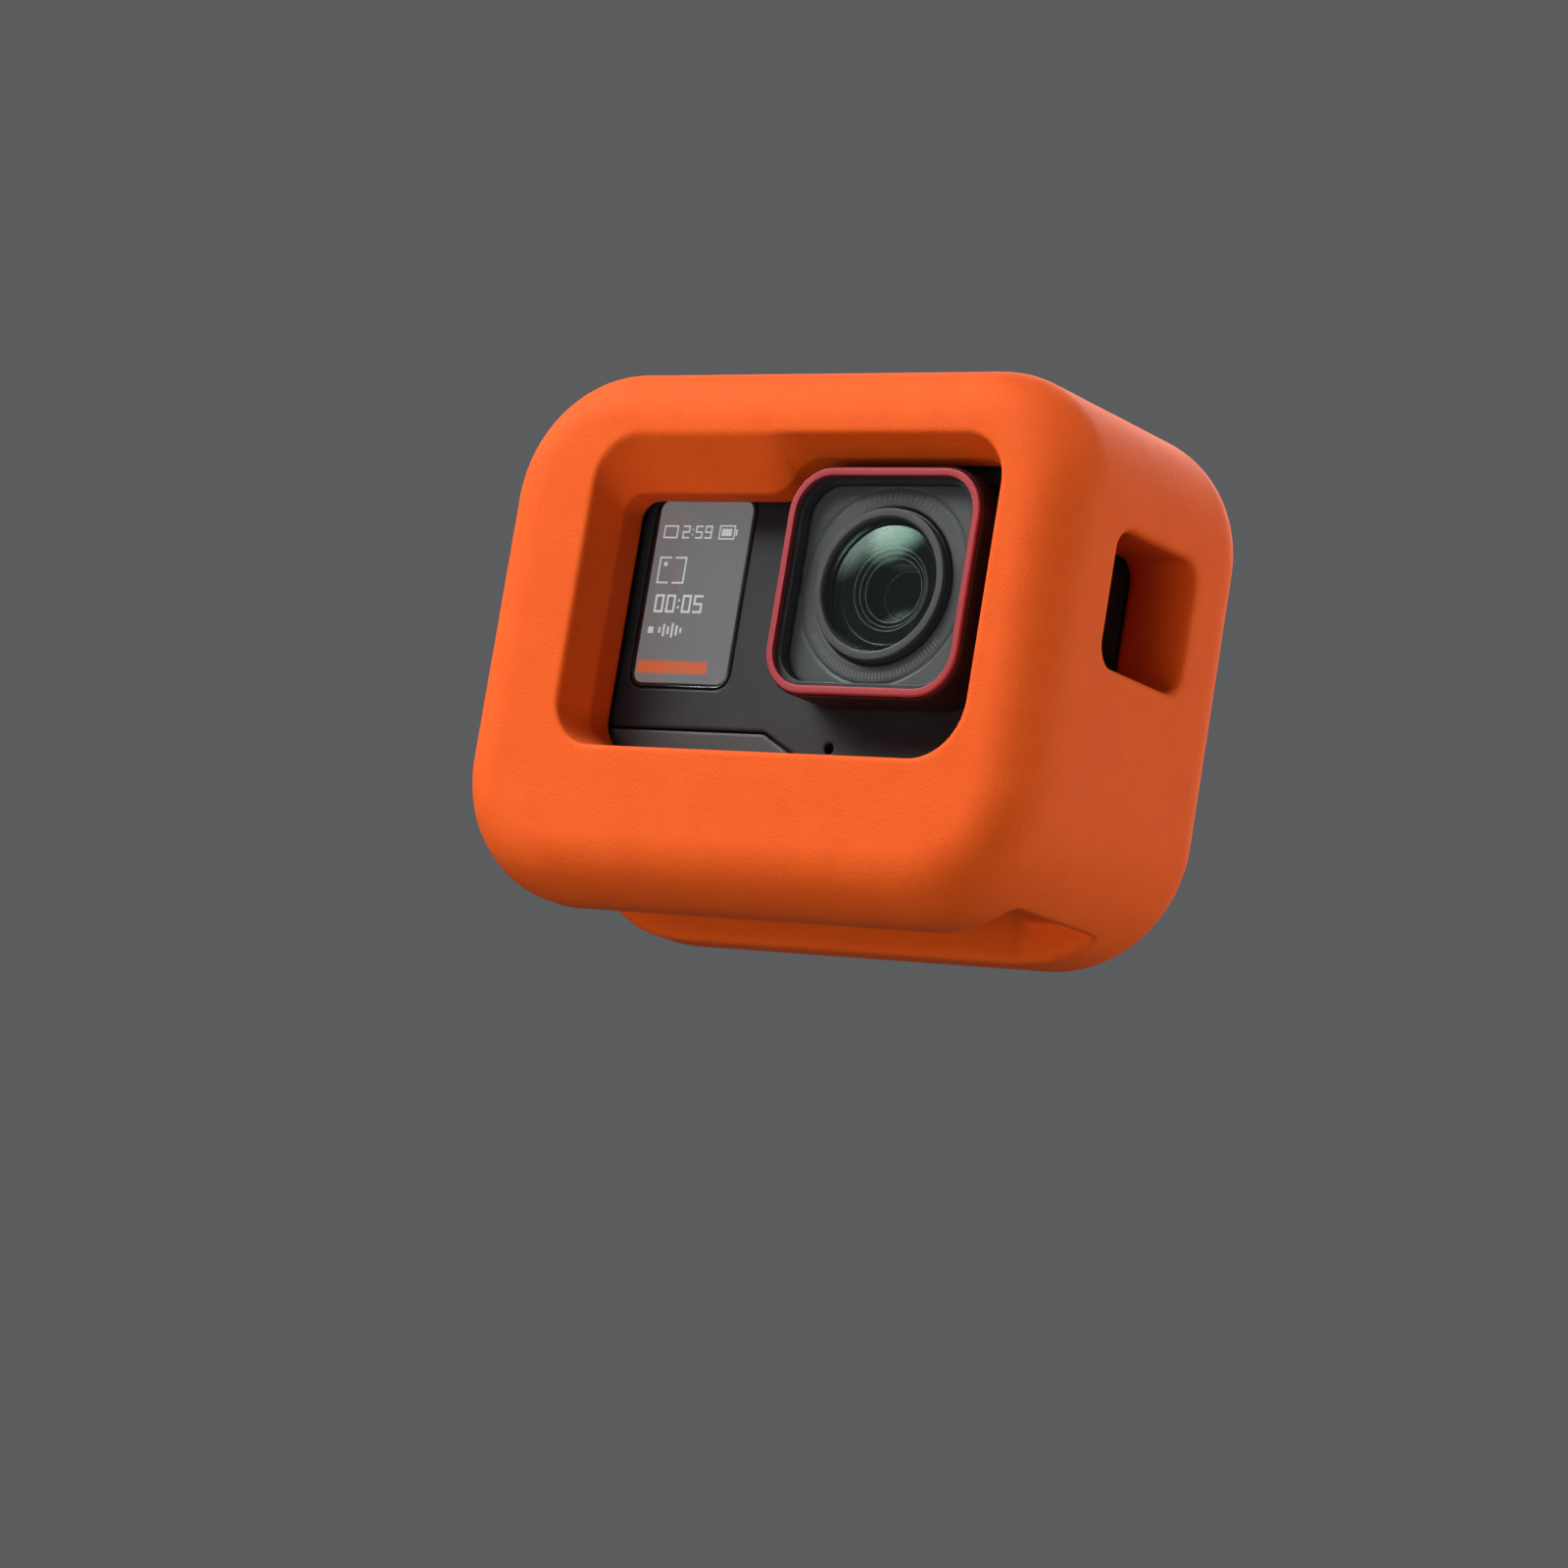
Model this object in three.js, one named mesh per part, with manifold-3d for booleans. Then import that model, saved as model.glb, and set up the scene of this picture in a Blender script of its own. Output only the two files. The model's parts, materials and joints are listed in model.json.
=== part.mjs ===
// Action camera with a flip-up rear screen, in a foam float case.
// Millimetres, +Z up. The origin is under the middle of the case, at floor level; the lens looks along -Y.

import * as THREE from 'three';
import { mergeVertices } from 'three/addons/utils/BufferGeometryUtils.js';
import Module from 'manifold-3d';

const wasm = await Module();
wasm.setup();

// ---- Driving dimensions ----

const gap = 0.3;
const far = 30;

const caseSize = { width: 94.8, depth: 45, height: 73.4, cornerRadius: 18.4, edgeRadius: 8.5 };
const caseFront = -caseSize.depth / 2;
const caseRear = caseSize.depth / 2;

const body = { width: 71.9, height: 52.2, front: -11.5, rear: 18.5, bottom: 10, cornerRadius: 5.5 };
body.middle = body.bottom + body.height / 2;
body.top = body.bottom + body.height;
body.side = body.width / 2;

const cavityFit = 0.5;
const cavityFront = 1;
const frontHousingRear = -8.7;
const frameFront = -8.4;
const frameRear = 9.2;
const rearPlateFront = 9.5;
const rearPlateRear = 12.2;
const wall = 2;
const frameFloor = 4;
const post = { inner: 27.5, low: 19.5, high: 53.5 };

const windowOuter = { left: -30.5, right: 35.9, bottom: 20.4, top: 63.3, radii: [6.5, 8, 6.5, 7] };
const windowInner = { left: -28.9, right: 34, bottom: 21.2, top: 61.35, radii: [5, 6.5, 5.5, 2.8] };
const windowStep = { drop: 5, start: -5.2, end: 2.9, radius: 4.58 };
const windowBevelDepth = 5.6;

const lens = { x: 16, z: 44.2, bossHalf: 13.7, bossFront: -15.5, bore: 11.2, plateFront: -16.6 };
const guard = { half: 15.5, radius: 6.5, tubeHalf: 14, front: -18.6, rear: -11.8, ringFront: -19.5 };
const ringWidth = 1.3;

const display = { x: -19.2, z: 44.2, width: 16.6, height: 26.3, radius: 2, ledge: 1 };
const windGuard = { left: -33.5, right: 33.5, bottom: 12.6, top: 25, low: 18, slantStart: -3.5, slantEnd: 9.8 };
const micHoles = [[7.6, 23.4], [-24, 18.5], [-20.5, 18.5]];

const screen = { side: 34, bottom: 13, front: 12.5, hingeY: 15.5, hingeZ: 59.2, thickness: 6 };
screen.rear = screen.front + screen.thickness;
const hingePinRadius = 0.9;

const door = { front: -7.1, rear: 7.9, hingeX: -34.5, hingeZ: 19.5, top: 54.5, plate: 1.8, knuckle: 1.5 };
door.middle = (door.front + door.rear) / 2;
const doorPinRadius = 0.7;
const latch = { width: 6, height: 4.5, top: 51.5, travel: 2, thickness: 0.75 };

const shutter = { x: -18, y: 0.4, radius: 4.8, flange: 5.6, proud: 0.2 };
const power = { y: 0.4, z: 45, width: 4.6, height: 11, proud: 0.2 };

const battery = { left: -32, right: 3, front: -6.9, rear: 3.3, bottom: 20.2, top: 52.8 };
const mountPlate = { width: 26, depth: 12.8, y: 0.4, thickness: 1.2 };
const magnet = { radius: 3.6, thickness: 1.5, x: 7 };
const screwPlaces = [[-30.6, 16.2], [30.6, 16.2], [30.6, 56.2], [-30.6, 56.2]];

// ---- Finishes: colour, roughness, metalness ----

const finishes = {
  foam: [0xfb6a2e, 0.95, 0],
  shell: [0x2f2d2e, 0.6, 0],
  grey: [0x5b5a5c, 0.7, 0],
  red: [0xc23a48, 0.35, 0.6],
  plate: [0x4c5052, 0.55, 0.5],
  ring: [0x4a4a4a, 0.35, 0.7],
  black: [0x0b0b0c, 0.5, 0],
  glass: [0x1b2420, 0.05, 0],
  coated: [0x3c5a48, 0.04, 0],
  panel: [0x6c6c6e, 0.3, 0],
  rubber: [0x151515, 0.9, 0],
  steel: [0xa8aaac, 0.3, 1],
  board: [0x1d5a35, 0.6, 0],
  aluminium: [0xb5b7b9, 0.4, 1],
  cell: [0x26282c, 0.5, 0],
};

function finish(name) {
  const [color, roughness, metalness] = finishes[name];
  return new THREE.MeshStandardMaterial({ color, roughness, metalness });
}

// ---- Solids ----

// Merges shared vertices, drops triangles of no area and turns the faces outwards.
function closed(geometry) {
  const bare = geometry.clone();
  bare.deleteAttribute('normal');
  bare.deleteAttribute('uv');
  const merged = mergeVertices(bare, 1e-4);
  const corners = merged.index.array;
  const at = merged.attributes.position;
  const kept = [];
  let volume = 0;
  for (let i = 0; i < corners.length; i += 3) {
    const [a, b, c] = corners.slice(i, i + 3);
    if (a === b || b === c || c === a) continue;
    kept.push(a, b, c);
    const [pa, pb, pc] = [a, b, c].map((n) => new THREE.Vector3().fromBufferAttribute(at, n));
    volume += pa.dot(pb.cross(pc));
  }
  if (volume < 0) kept.reverse();
  merged.setIndex(kept);
  return merged;
}

function toManifold(geometry) {
  const solid = closed(geometry);
  return new wasm.Manifold(new wasm.Mesh({
    numProp: 3,
    vertProperties: new Float32Array(solid.attributes.position.array),
    triVerts: new Uint32Array(solid.index.array),
  }));
}

function toGeometry(manifold) {
  const mesh = manifold.getMesh();
  const geometry = new THREE.BufferGeometry();
  geometry.setAttribute('position', new THREE.Float32BufferAttribute(mesh.vertProperties, 3));
  geometry.setIndex([...mesh.triVerts]);
  return geometry;
}

function cut(base, ...tools) {
  return toGeometry(tools.reduce((left, tool) => left.subtract(toManifold(tool)), toManifold(base)));
}

function join(base, ...more) {
  return toGeometry(more.reduce((sum, piece) => sum.add(toManifold(piece)), toManifold(base)));
}

// A rectangle from its edges, with one radius for all corners.
function rounded(left, right, low, high, radius) {
  const r = Math.min(radius, (right - left) / 2 - 0.01, (high - low) / 2 - 0.01);
  const shape = new THREE.Shape();
  shape.moveTo(left + r, low);
  shape.absarc(right - r, low + r, r, -Math.PI / 2, 0);
  shape.absarc(right - r, high - r, r, 0, Math.PI / 2);
  shape.absarc(left + r, high - r, r, Math.PI / 2, Math.PI);
  shape.absarc(left + r, low + r, r, Math.PI, Math.PI * 1.5);
  return shape;
}

function centred(x, y, width, height, radius) {
  return rounded(x - width / 2, x + width / 2, y - height / 2, y + height / 2, radius);
}

// The camera body's outline in X and Z, drawn in by an inset.
function bodyOutline(inset) {
  const radius = Math.max(body.cornerRadius - inset, 0.5);
  return centred(0, body.middle, body.width - 2 * inset, body.height - 2 * inset, radius);
}

// An outline in the XZ, XY or YZ plane, pushed along the third axis, with rounded edges if asked.
function prism(shape, plane, from, to, edge = 0, steps = 2) {
  const geometry = new THREE.ExtrudeGeometry(shape, {
    depth: to - from - 2 * edge,
    curveSegments: steps,
    bevelEnabled: edge > 0,
    bevelThickness: edge,
    bevelSize: edge,
    bevelOffset: -edge,
    bevelSegments: 4,
  });
  geometry.translate(0, 0, edge);
  const basis = new THREE.Matrix4();
  const [x, y, z] = [new THREE.Vector3(1, 0, 0), new THREE.Vector3(0, 1, 0), new THREE.Vector3(0, 0, 1)];
  if (plane === 'xz') basis.makeBasis(x, z, y.clone().negate()).setPosition(0, to, 0);
  if (plane === 'xy') basis.makeBasis(x, y, z).setPosition(0, 0, from);
  if (plane === 'yz') basis.makeBasis(y, z, x).setPosition(from, 0, 0);
  return geometry.applyMatrix4(basis);
}

function box(x, y, z) {
  const geometry = new THREE.BoxGeometry(x[1] - x[0], y[1] - y[0], z[1] - z[0]);
  return geometry.translate((x[0] + x[1]) / 2, (y[0] + y[1]) / 2, (z[0] + z[1]) / 2);
}

// A profile of [radius, height] points turned about the Y axis.
function turned(profile, sides = 32) {
  return new THREE.LatheGeometry(profile.map(([r, y]) => new THREE.Vector2(r, y)), sides);
}

function turnedRing(inner, outer, from, to, sides) {
  return turned([[inner, from], [outer, from], [outer, to], [inner, to], [inner, from]], sides);
}

function rod(radius, from, to, sides = 20) {
  return turned([[0, from], [radius, from], [radius, to], [0, to]], sides);
}

function alongX(geometry) {
  return geometry.rotateZ(-Math.PI / 2);
}

function alongZ(geometry) {
  return geometry.rotateX(Math.PI / 2);
}

// A lens with a bulge of its own on each face; both faces meet the edge at radius.
function lensSolid(radius, front, rear, frontBulge, rearBulge) {
  const profile = [];
  const rings = 6;
  for (let i = 0; i <= rings; i++) {
    const r = (radius * i) / rings;
    profile.push([r, front - frontBulge * (1 - (r / radius) ** 2)]);
  }
  for (let i = rings; i >= 0; i--) {
    const r = (radius * i) / rings;
    profile.push([r, rear + rearBulge * (1 - (r / radius) ** 2)]);
  }
  return turned(profile);
}

const root = new THREE.Group();

function node(name, geometry, finishName, parent = root) {
  const mesh = new THREE.Mesh(closed(geometry), finish(finishName));
  mesh.name = name;
  parent.add(mesh);
  return mesh;
}

function groupAt(x, y, z) {
  const group = new THREE.Group();
  group.position.set(x, y, z);
  root.add(group);
  return group;
}

// ---- Float case ----

function cornerArc(x, z, radius, start, steps) {
  const points = [];
  for (let i = 0; i <= steps; i++) {
    const angle = start + (Math.PI / 2) * (i / steps);
    points.push([x + radius * Math.cos(angle), z + radius * Math.sin(angle)]);
  }
  return points;
}

// The inner top edge: high over the lens, then down an S of two arcs to the lower display side.
function stepHeight(x) {
  const { drop, start, end, radius } = windowStep;
  const middle = (start + end) / 2;
  if (x >= end) return 0;
  if (x <= start) return -drop;
  if (x > middle) return Math.sqrt(radius ** 2 - (end - x) ** 2) - radius;
  return radius - Math.sqrt(radius ** 2 - (x - start) ** 2) - drop;
}

// One outline of the front window. Every outline has the same number of points, in the same order.
function windowOutline({ left, right, bottom, top, radii }, stepped) {
  const [lowLeft, lowRight, highRight, highLeft] = radii;
  const steps = 5;
  const leftTop = stepped ? top - windowStep.drop : top;
  const points = [
    ...cornerArc(left + lowLeft, bottom + lowLeft, lowLeft, Math.PI, steps),
    ...cornerArc(right - lowRight, bottom + lowRight, lowRight, Math.PI * 1.5, steps),
    ...cornerArc(right - highRight, top - highRight, highRight, 0, steps),
  ];
  const stations = 10;
  for (let i = 0; i <= stations; i++) {
    const x = windowStep.end + (windowStep.start - windowStep.end) * (i / stations);
    points.push([x, stepped ? top + stepHeight(x) : top]);
  }
  points.push(...cornerArc(left + highLeft, leftTop - highLeft, highLeft, Math.PI / 2, steps));
  return points;
}

// Joins outlines of equal length, each at its own Y, into one closed solid.
function loft(sections) {
  const count = sections[0].outline.length;
  const position = sections.flatMap(({ outline, y }) => outline.flatMap(([x, z]) => [x, y, z]));
  const index = [];
  for (let s = 0; s + 1 < sections.length; s++) {
    for (let i = 0; i < count; i++) {
      const a = s * count + i;
      const b = s * count + ((i + 1) % count);
      index.push(a, b, b + count, a, b + count, a + count);
    }
  }
  const last = sections.length - 1;
  const capOf = (section) => {
    const flat = sections[section].outline.map(([x, z]) => new THREE.Vector2(x, z));
    return THREE.ShapeUtils.triangulateShape(flat, []).map((face) => face.map((n) => n + section * count));
  };
  for (const [a, b, c] of capOf(0)) index.push(c, b, a);
  for (const [a, b, c] of capOf(last)) index.push(a, b, c);
  const geometry = new THREE.BufferGeometry();
  geometry.setAttribute('position', new THREE.Float32BufferAttribute(position, 3));
  geometry.setIndex(index);
  return geometry;
}

function windowTool() {
  const outer = windowOutline(windowOuter, false);
  const inner = windowOutline(windowInner, true);
  return loft([
    { outline: outer, y: caseFront - 3 },
    { outline: outer, y: caseFront },
    { outline: inner, y: caseFront + windowBevelDepth },
    { outline: inner, y: body.front + 1 },
  ]);
}

function cavityTool() {
  const outline = centred(0, body.middle, body.width + 2 * cavityFit, body.height + 2 * cavityFit, 6);
  return prism(outline, 'xz', body.front - cavityFront, far);
}

// Openings for the finger on the power button, the finger on the shutter, and the battery door.
function sideTools() {
  const powerHole = prism(rounded(-10.4, 8.5, 36.2, 54, 3), 'yz', 34, 50);
  const shutterHole = prism(centred(shutter.x, 1, 18, 14, 5), 'xy', 60, 80);
  const doorNotch = prism(rounded(-9, far, 15, 57, 3), 'yz', -50, -34);
  return [powerHole, shutterHole, doorNotch];
}

// The rear top notch lets the screen stand upright behind the top wall.
function screenNotchTool() {
  return box([-35.5, 35.5], [11.6, far], [56, 80]);
}

// The slot across the underside, and the deeper way through it to the camera's mount.
function undersideTools() {
  const slot = box([-39.5, 39.5], [-10.5, 8.5], [-5, 5.5]);
  const way = prism(rounded(-29.5, 29.5, -10.5, 9.6, 4), 'xy', -5, 12);
  return [slot, way];
}

function addFloatCase() {
  const { width, height, cornerRadius, edgeRadius } = caseSize;
  const outline = centred(0, height / 2, width, height, cornerRadius);
  const block = prism(outline, 'xz', caseFront, caseRear, edgeRadius, 5);
  const tools = [cavityTool(), windowTool(), ...sideTools(), screenNotchTool(), ...undersideTools()];
  node('float_case', cut(block, ...tools), 'foam');
}

// ---- Camera body ----

function windGuardOutline(grow) {
  const { left, right, bottom, top, low, slantStart, slantEnd } = windGuard;
  const shape = new THREE.Shape();
  shape.moveTo(left - grow, bottom - grow);
  shape.lineTo(right + grow, bottom - grow);
  shape.lineTo(right + grow, low + grow);
  shape.lineTo(slantEnd + grow / 2, low + grow);
  shape.lineTo(slantStart + grow / 2, top + grow);
  shape.lineTo(left - grow, top + grow);
  return shape;
}

function micTools(from, to) {
  return micHoles.map(([x, z]) => rod(0.7, from, to, 12).translate(x, 0, z));
}

function lensSquare(half, radius) {
  return centred(lens.x, lens.z, 2 * half, 2 * half, radius);
}

function addFrontHousing() {
  const block = cut(
    prism(bodyOutline(0), 'xz', body.front, 0, 1.5),
    box([-50, 50], [frontHousingRear, 10], [0, 80]),
  );
  const boss = prism(lensSquare(lens.bossHalf, 5), 'xz', lens.bossFront, body.front + 1);
  const { x, z, width, height, radius } = display;
  const solid = cut(
    join(block, boss),
    prism(bodyOutline(wall), 'xz', body.front + wall, 0),
    rod(lens.bore, -20, 0, 32).translate(lens.x, 0, lens.z),
    prism(centred(x, z, width + 2 * gap, height + 2 * gap, radius), 'xz', -20, body.front + 1.2),
    prism(centred(x, z, width - 2 * display.ledge, height - 2 * display.ledge, 1.5), 'xz', -20, 0),
    prism(windGuardOutline(gap), 'xz', -20, body.front + 1.2),
    ...micTools(-20, 0),
  );
  node('front_housing', solid, 'shell');
}

function addWindGuard() {
  const plate = prism(windGuardOutline(0), 'xz', body.front, body.front + 0.9);
  node('wind_guard', cut(plate, ...micTools(-20, 0)), 'grey');
}

function doorOpeningTool() {
  const low = door.hingeZ - door.knuckle - gap;
  return box([-40, -32.4], [door.front - gap, door.rear + gap], [low, door.top + gap]);
}

function addMainFrame() {
  const inner = body.side - wall;
  const recess = centred(0, mountPlate.y, mountPlate.width + 2 * gap, mountPlate.depth + 2 * gap, 2);
  const plateRoof = body.bottom + mountPlate.thickness + gap;
  const solid = cut(
    prism(bodyOutline(0), 'xz', frameFront, frameRear),
    box([-inner, inner], [-20, 20], [post.low, post.high]),
    box([-post.inner, post.inner], [-20, 20], [body.bottom + frameFloor, body.top - wall]),
    doorOpeningTool(),
    rod(doorPinRadius + gap, -20, 20, 12).translate(door.hingeX, 0, door.hingeZ),
    alongZ(rod(shutter.radius + gap, 50, 70)).translate(shutter.x, shutter.y, 0),
    prism(centred(power.y, power.z, power.width + 0.6, power.height + 0.6, 2.5), 'yz', 30, 40),
    prism(recess, 'xy', 0, plateRoof),
    ...[-magnet.x, magnet.x].map((x) => alongZ(rod(magnet.radius + gap, 5, 13.4)).translate(x, power.y, 0)),
    ...[-17, 17].map((x) => prism(centred(x, power.y, 2.4, 9, 1), 'xy', 0, plateRoof)),
    ...screwPlaces.map(([x, z]) => rod(1.1, 3, 20, 12).translate(x, 0, z)),
  );
  node('main_frame', solid, 'shell');
}

function addRearHousing() {
  const block = cut(
    prism(bodyOutline(0), 'xz', 0, body.rear, 1.5),
    box([-50, 50], [-10, rearPlateFront], [0, 80]),
  );
  const solid = cut(
    block,
    box([-screen.side - gap, screen.side + gap], [rearPlateRear, far], [screen.bottom - gap, 80]),
    alongX(rod(hingePinRadius + gap, -45, 45, 12)).translate(0, screen.hingeY, screen.hingeZ),
    prism(centred(0, 11, 16, 3, 1), 'xz', 15, far),
    ...screwPlaces.map(([x, z]) => rod(1.1, 0, 20, 12).translate(x, 0, z)),
    ...screwPlaces.map(([x, z]) => rod(1.9, 11, 20, 16).translate(x, 0, z)),
  );
  node('rear_housing', solid, 'shell');
}

function addScrews() {
  const screw = turned([[0, 3.2], [0.8, 3.2], [0.8, 11.3], [1.6, 11.3], [1.6, 12.1], [0, 12.1]], 12);
  screwPlaces.forEach(([x, z], i) => {
    node(`screw_${i + 1}`, screw, 'steel').position.set(x, 0, z);
  });
}

function addFrontDisplay() {
  const { x, z, width, height, radius, ledge } = display;
  const inset = 2 * (ledge + gap);
  const glass = prism(centred(x, z, width, height, radius), 'xz', body.front, body.front + 0.9);
  const panel = prism(centred(x, z, width - inset, height - inset, 1.2), 'xz', -10.2, -8.7);
  node('front_display_glass', glass, 'glass');
  node('front_display_panel', panel, 'panel');
}

// ---- Lens ----

function addLens() {
  const group = groupAt(lens.x, 0, lens.z);
  const square = prism(centred(0, 0, 27, 27, 4.7), 'xz', lens.plateFront, lens.plateFront + 0.8);
  node('lens_plate', cut(square, rod(10.7, -20, 0, 36)), 'plate', group);
  node('lens_barrel', turned([
    [10.4, -16.8], [10.4, 4.8], [7, 4.8], [7, -14.3], [8.9, -14.3], [8.9, -16.8], [10.4, -16.8],
  ], 36), 'black', group);
  node('lens_ring', turnedRing(9, 10.2, -18, -17.1, 36), 'ring', group);
  node('front_lens', lensSolid(8.6, -16.9, -14.6, 1.6, -0.8), 'coated', group);
  node('second_lens', lensSolid(6.7, -12.1, -11.1, 1.2, 1), 'glass', group);
  node('third_lens', lensSolid(6.7, -4.6, -3.4, 0.9, 1.1), 'glass', group);
  node('rear_lens', lensSolid(6.2, -0.6, 0.6, 0.9, 0.5), 'glass', group);
  node('aperture_ring', turnedRing(2.6, 6.7, -7.4, -6.8, 24), 'black', group);
  node('infrared_filter', prism(centred(0, 0, 8.4, 8.4, 0.5), 'xz', 2.6, 3), 'coated', group);
  node('image_sensor', box([-6.5, 6.5], [5.2, 6.4], [-5, 5]), 'glass', group);
  node('sensor_board', box([-11, 11], [6.7, 7.7], [-10.5, 10.5]), 'board', group);
}

function addLensGuard() {
  const { half, radius, tubeHalf, front, rear, ringFront } = guard;
  const square = (size, corner) => centred(0, 0, 2 * size, 2 * size, corner);
  const group = groupAt(lens.x, 0, lens.z);
  const frame = cut(
    prism(square(half, radius), 'xz', front, rear),
    prism(square(tubeHalf, 5), 'xz', -17.2, 0),
    prism(square(13.4, 4.5), 'xz', -30, 0),
  );
  node('lens_guard_frame', frame, 'black', group);
  const ring = cut(
    prism(square(half, radius), 'xz', ringFront, ringFront + 0.8),
    prism(square(half - ringWidth, radius - ringWidth), 'xz', -30, 0),
  );
  node('lens_guard_ring', ring, 'red', group);
  node('lens_guard_glass', prism(square(13.9, 4.9), 'xz', -19.3, -18.7), 'glass', group);
}

// ---- Rear screen ----

function addScreen() {
  const group = groupAt(0, screen.hingeY, screen.hingeZ);
  const low = screen.bottom - screen.hingeZ;
  const half = screen.thickness / 2;
  const plate = prism(rounded(-screen.side, screen.side, low, 0, 1.5), 'xz', -half, half);
  const barrel = alongX(rod(half, -screen.side, screen.side, 24));
  const housing = cut(
    join(plate, barrel),
    prism(rounded(-31.3, 31.3, low + 2.7, low + 40.3, 2.3), 'xz', 0.3, 10),
    alongX(rod(hingePinRadius + gap, -45, -29, 12)),
    alongX(rod(hingePinRadius + gap, 29, 45, 12)),
  );
  node('screen_housing', housing, 'shell', group);
  const panel = prism(rounded(-30, 30, low + 4, low + 39, 1), 'xz', 0.6, 1.6);
  node('screen_panel', panel, 'panel', group);
  const glass = prism(rounded(-31, 31, low + 3, low + 40, 2), 'xz', 1.9, half - 0.1);
  node('screen_glass', glass, 'glass', group);
  for (const [side, sign] of [['left', -1], ['right', 1]]) {
    const pin = alongX(rod(hingePinRadius, -2.4, 2.4, 12)).translate(sign * 32.4, 0, 0);
    node(`screen_hinge_pin_${side}`, pin, 'steel', group);
  }
}

// ---- Battery door, latch and what the door covers ----

function addDoor() {
  const { front, rear, hingeX, hingeZ, top, plate, knuckle, middle } = door;
  const outer = -body.side;
  const face = box([outer, outer + plate], [front, rear], [hingeZ, top]);
  const boss = prism(rounded(front + 1.8, rear - 1.8, hingeZ + 3, top - 1.8, 1.5), 'yz', outer + 1, outer + 3.2);
  const barrel = rod(knuckle, front, rear).translate(hingeX + 0.05, 0, hingeZ);
  const solid = cut(
    join(face, boss, barrel),
    rod(doorPinRadius + gap, -20, 20, 12).translate(hingeX, 0, hingeZ),
    latchPocket(),
  );
  node('battery_door', solid, 'shell');
  const seal = cut(
    prism(rounded(front + 0.4, rear - 0.4, hingeZ + 1.9, top - 0.4, 2.2), 'yz', outer + 2.1, outer + 2.9),
    prism(rounded(front + 1.5, rear - 1.5, hingeZ + 2.7, top - 1.5, 1.6), 'yz', outer, 0),
  );
  node('door_seal', seal, 'rubber');
  node('door_hinge_pin', rod(doorPinRadius, -8.1, 8.9, 12), 'steel').position.set(hingeX, 0, hingeZ);
  const thumb = prism(
    centred(middle, latch.top - latch.height / 2, latch.width, latch.height, 1),
    'yz', outer, outer + latch.thickness,
  );
  node('door_latch', thumb, 'red');
}

function latchPocket() {
  const low = latch.top - latch.height - latch.travel - gap;
  const half = latch.width / 2 + gap;
  const depth = latch.thickness + gap;
  const shape = rounded(door.middle - half, door.middle + half, low, latch.top + gap, 1);
  return prism(shape, 'yz', -40, -body.side + depth);
}

function addBatteryBay() {
  const { left, right, front, rear, bottom, top } = battery;
  const outline = rounded(front, rear, bottom, top, 1.5);
  node('battery', prism(outline, 'yz', left, right), 'cell');
  const port = cut(
    prism(rounded(4.4, 7.6, 24, 33, 1.5), 'yz', -32.3, -25.3),
    cut(
      prism(rounded(4.8, 7.2, 24.4, 32.6, 1.1), 'yz', -33, -26.5),
      box([-31.5, -26], [5.65, 6.35], [25.2, 31.8]),
    ),
  );
  node('usb_port', port, 'steel');
  const slot = cut(
    box([-31.5, -16.8], [4.4, 6.2], [38, 50.4]),
    box([-33, -17.4], [4.7, 5.9], [38.6, 49.8]),
  );
  node('card_slot', slot, 'aluminium');
  node('memory_card', box([-32.4, -17.8], [5, 5.7], [38.9, 49.5]), 'black');
}

// ---- Buttons ----

function addButtons() {
  const { flange, proud } = shutter;
  const cap = turned([
    [0, 3.6], [flange, 3.6], [flange, 2.7], [shutter.radius, 2.7],
    [shutter.radius, 0.3 - proud], [shutter.radius - 0.5, -proud], [0, -proud],
  ], 28);
  node('shutter_button', cap.rotateX(-Math.PI / 2), 'shell').position.set(shutter.x, shutter.y, body.top);
  const base = [shutter.x - 2, shutter.x + 2];
  node('shutter_switch', box(base, [-1.6, 2.4], [55.8, 57.4]), 'steel');

  const key = join(
    prism(centred(0, 0, power.width, power.height, 2.2), 'yz', 33, body.side + power.proud),
    prism(centred(0, 0, power.width + 1.4, power.height + 1.4, 2.8), 'yz', 32.4, 33.3),
  );
  node('power_button', key, 'shell').position.set(0, power.y, power.z);
  node('power_switch', box([29.6, 31.4], [-1.6, 2.4], [42.5, 47.5]), 'steel');
}

// ---- Boards, sound and mount ----

function addInside() {
  node('main_board', box([-26.5, 33], [8, 8.9], [20.2, 53]), 'board');
  node('heat_spreader', box([-24, 3], [6.6, 7.7], [20.8, 36]), 'aluminium');
  node('speaker', prism(rounded(9, 25, 16, 27, 2), 'xz', 1.5, 5), 'black');
  const micNames = ['microphone_front', 'microphone_left', 'microphone_low'];
  micHoles.forEach(([x, z], i) => {
    const half = 1.4;
    node(micNames[i], box([x - half, x + half], [-9.2, -8.1], [z - half, z + half]), 'steel');
  });
}

function addMount() {
  const { width, depth, y, thickness } = mountPlate;
  const plate = prism(centred(0, y, width, depth, 1.7), 'xy', body.bottom, body.bottom + thickness);
  node('mount_plate', plate, 'steel');
  for (const [side, sign] of [['left', -1], ['right', 1]]) {
    const disc = alongZ(rod(magnet.radius, 0, magnet.thickness, 24));
    node(`magnet_${side}`, disc, 'steel').position.set(sign * magnet.x, y, 11.6);
  }
}

addFloatCase();
addFrontHousing();
addWindGuard();
addMainFrame();
addRearHousing();
addScrews();
addFrontDisplay();
addLens();
addLensGuard();
addScreen();
addDoor();
addBatteryBay();
addButtons();
addInside();
addMount();

export default root;
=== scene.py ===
"""Looks for an action camera in a foam float case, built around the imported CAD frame."""

import json
import math

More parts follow.
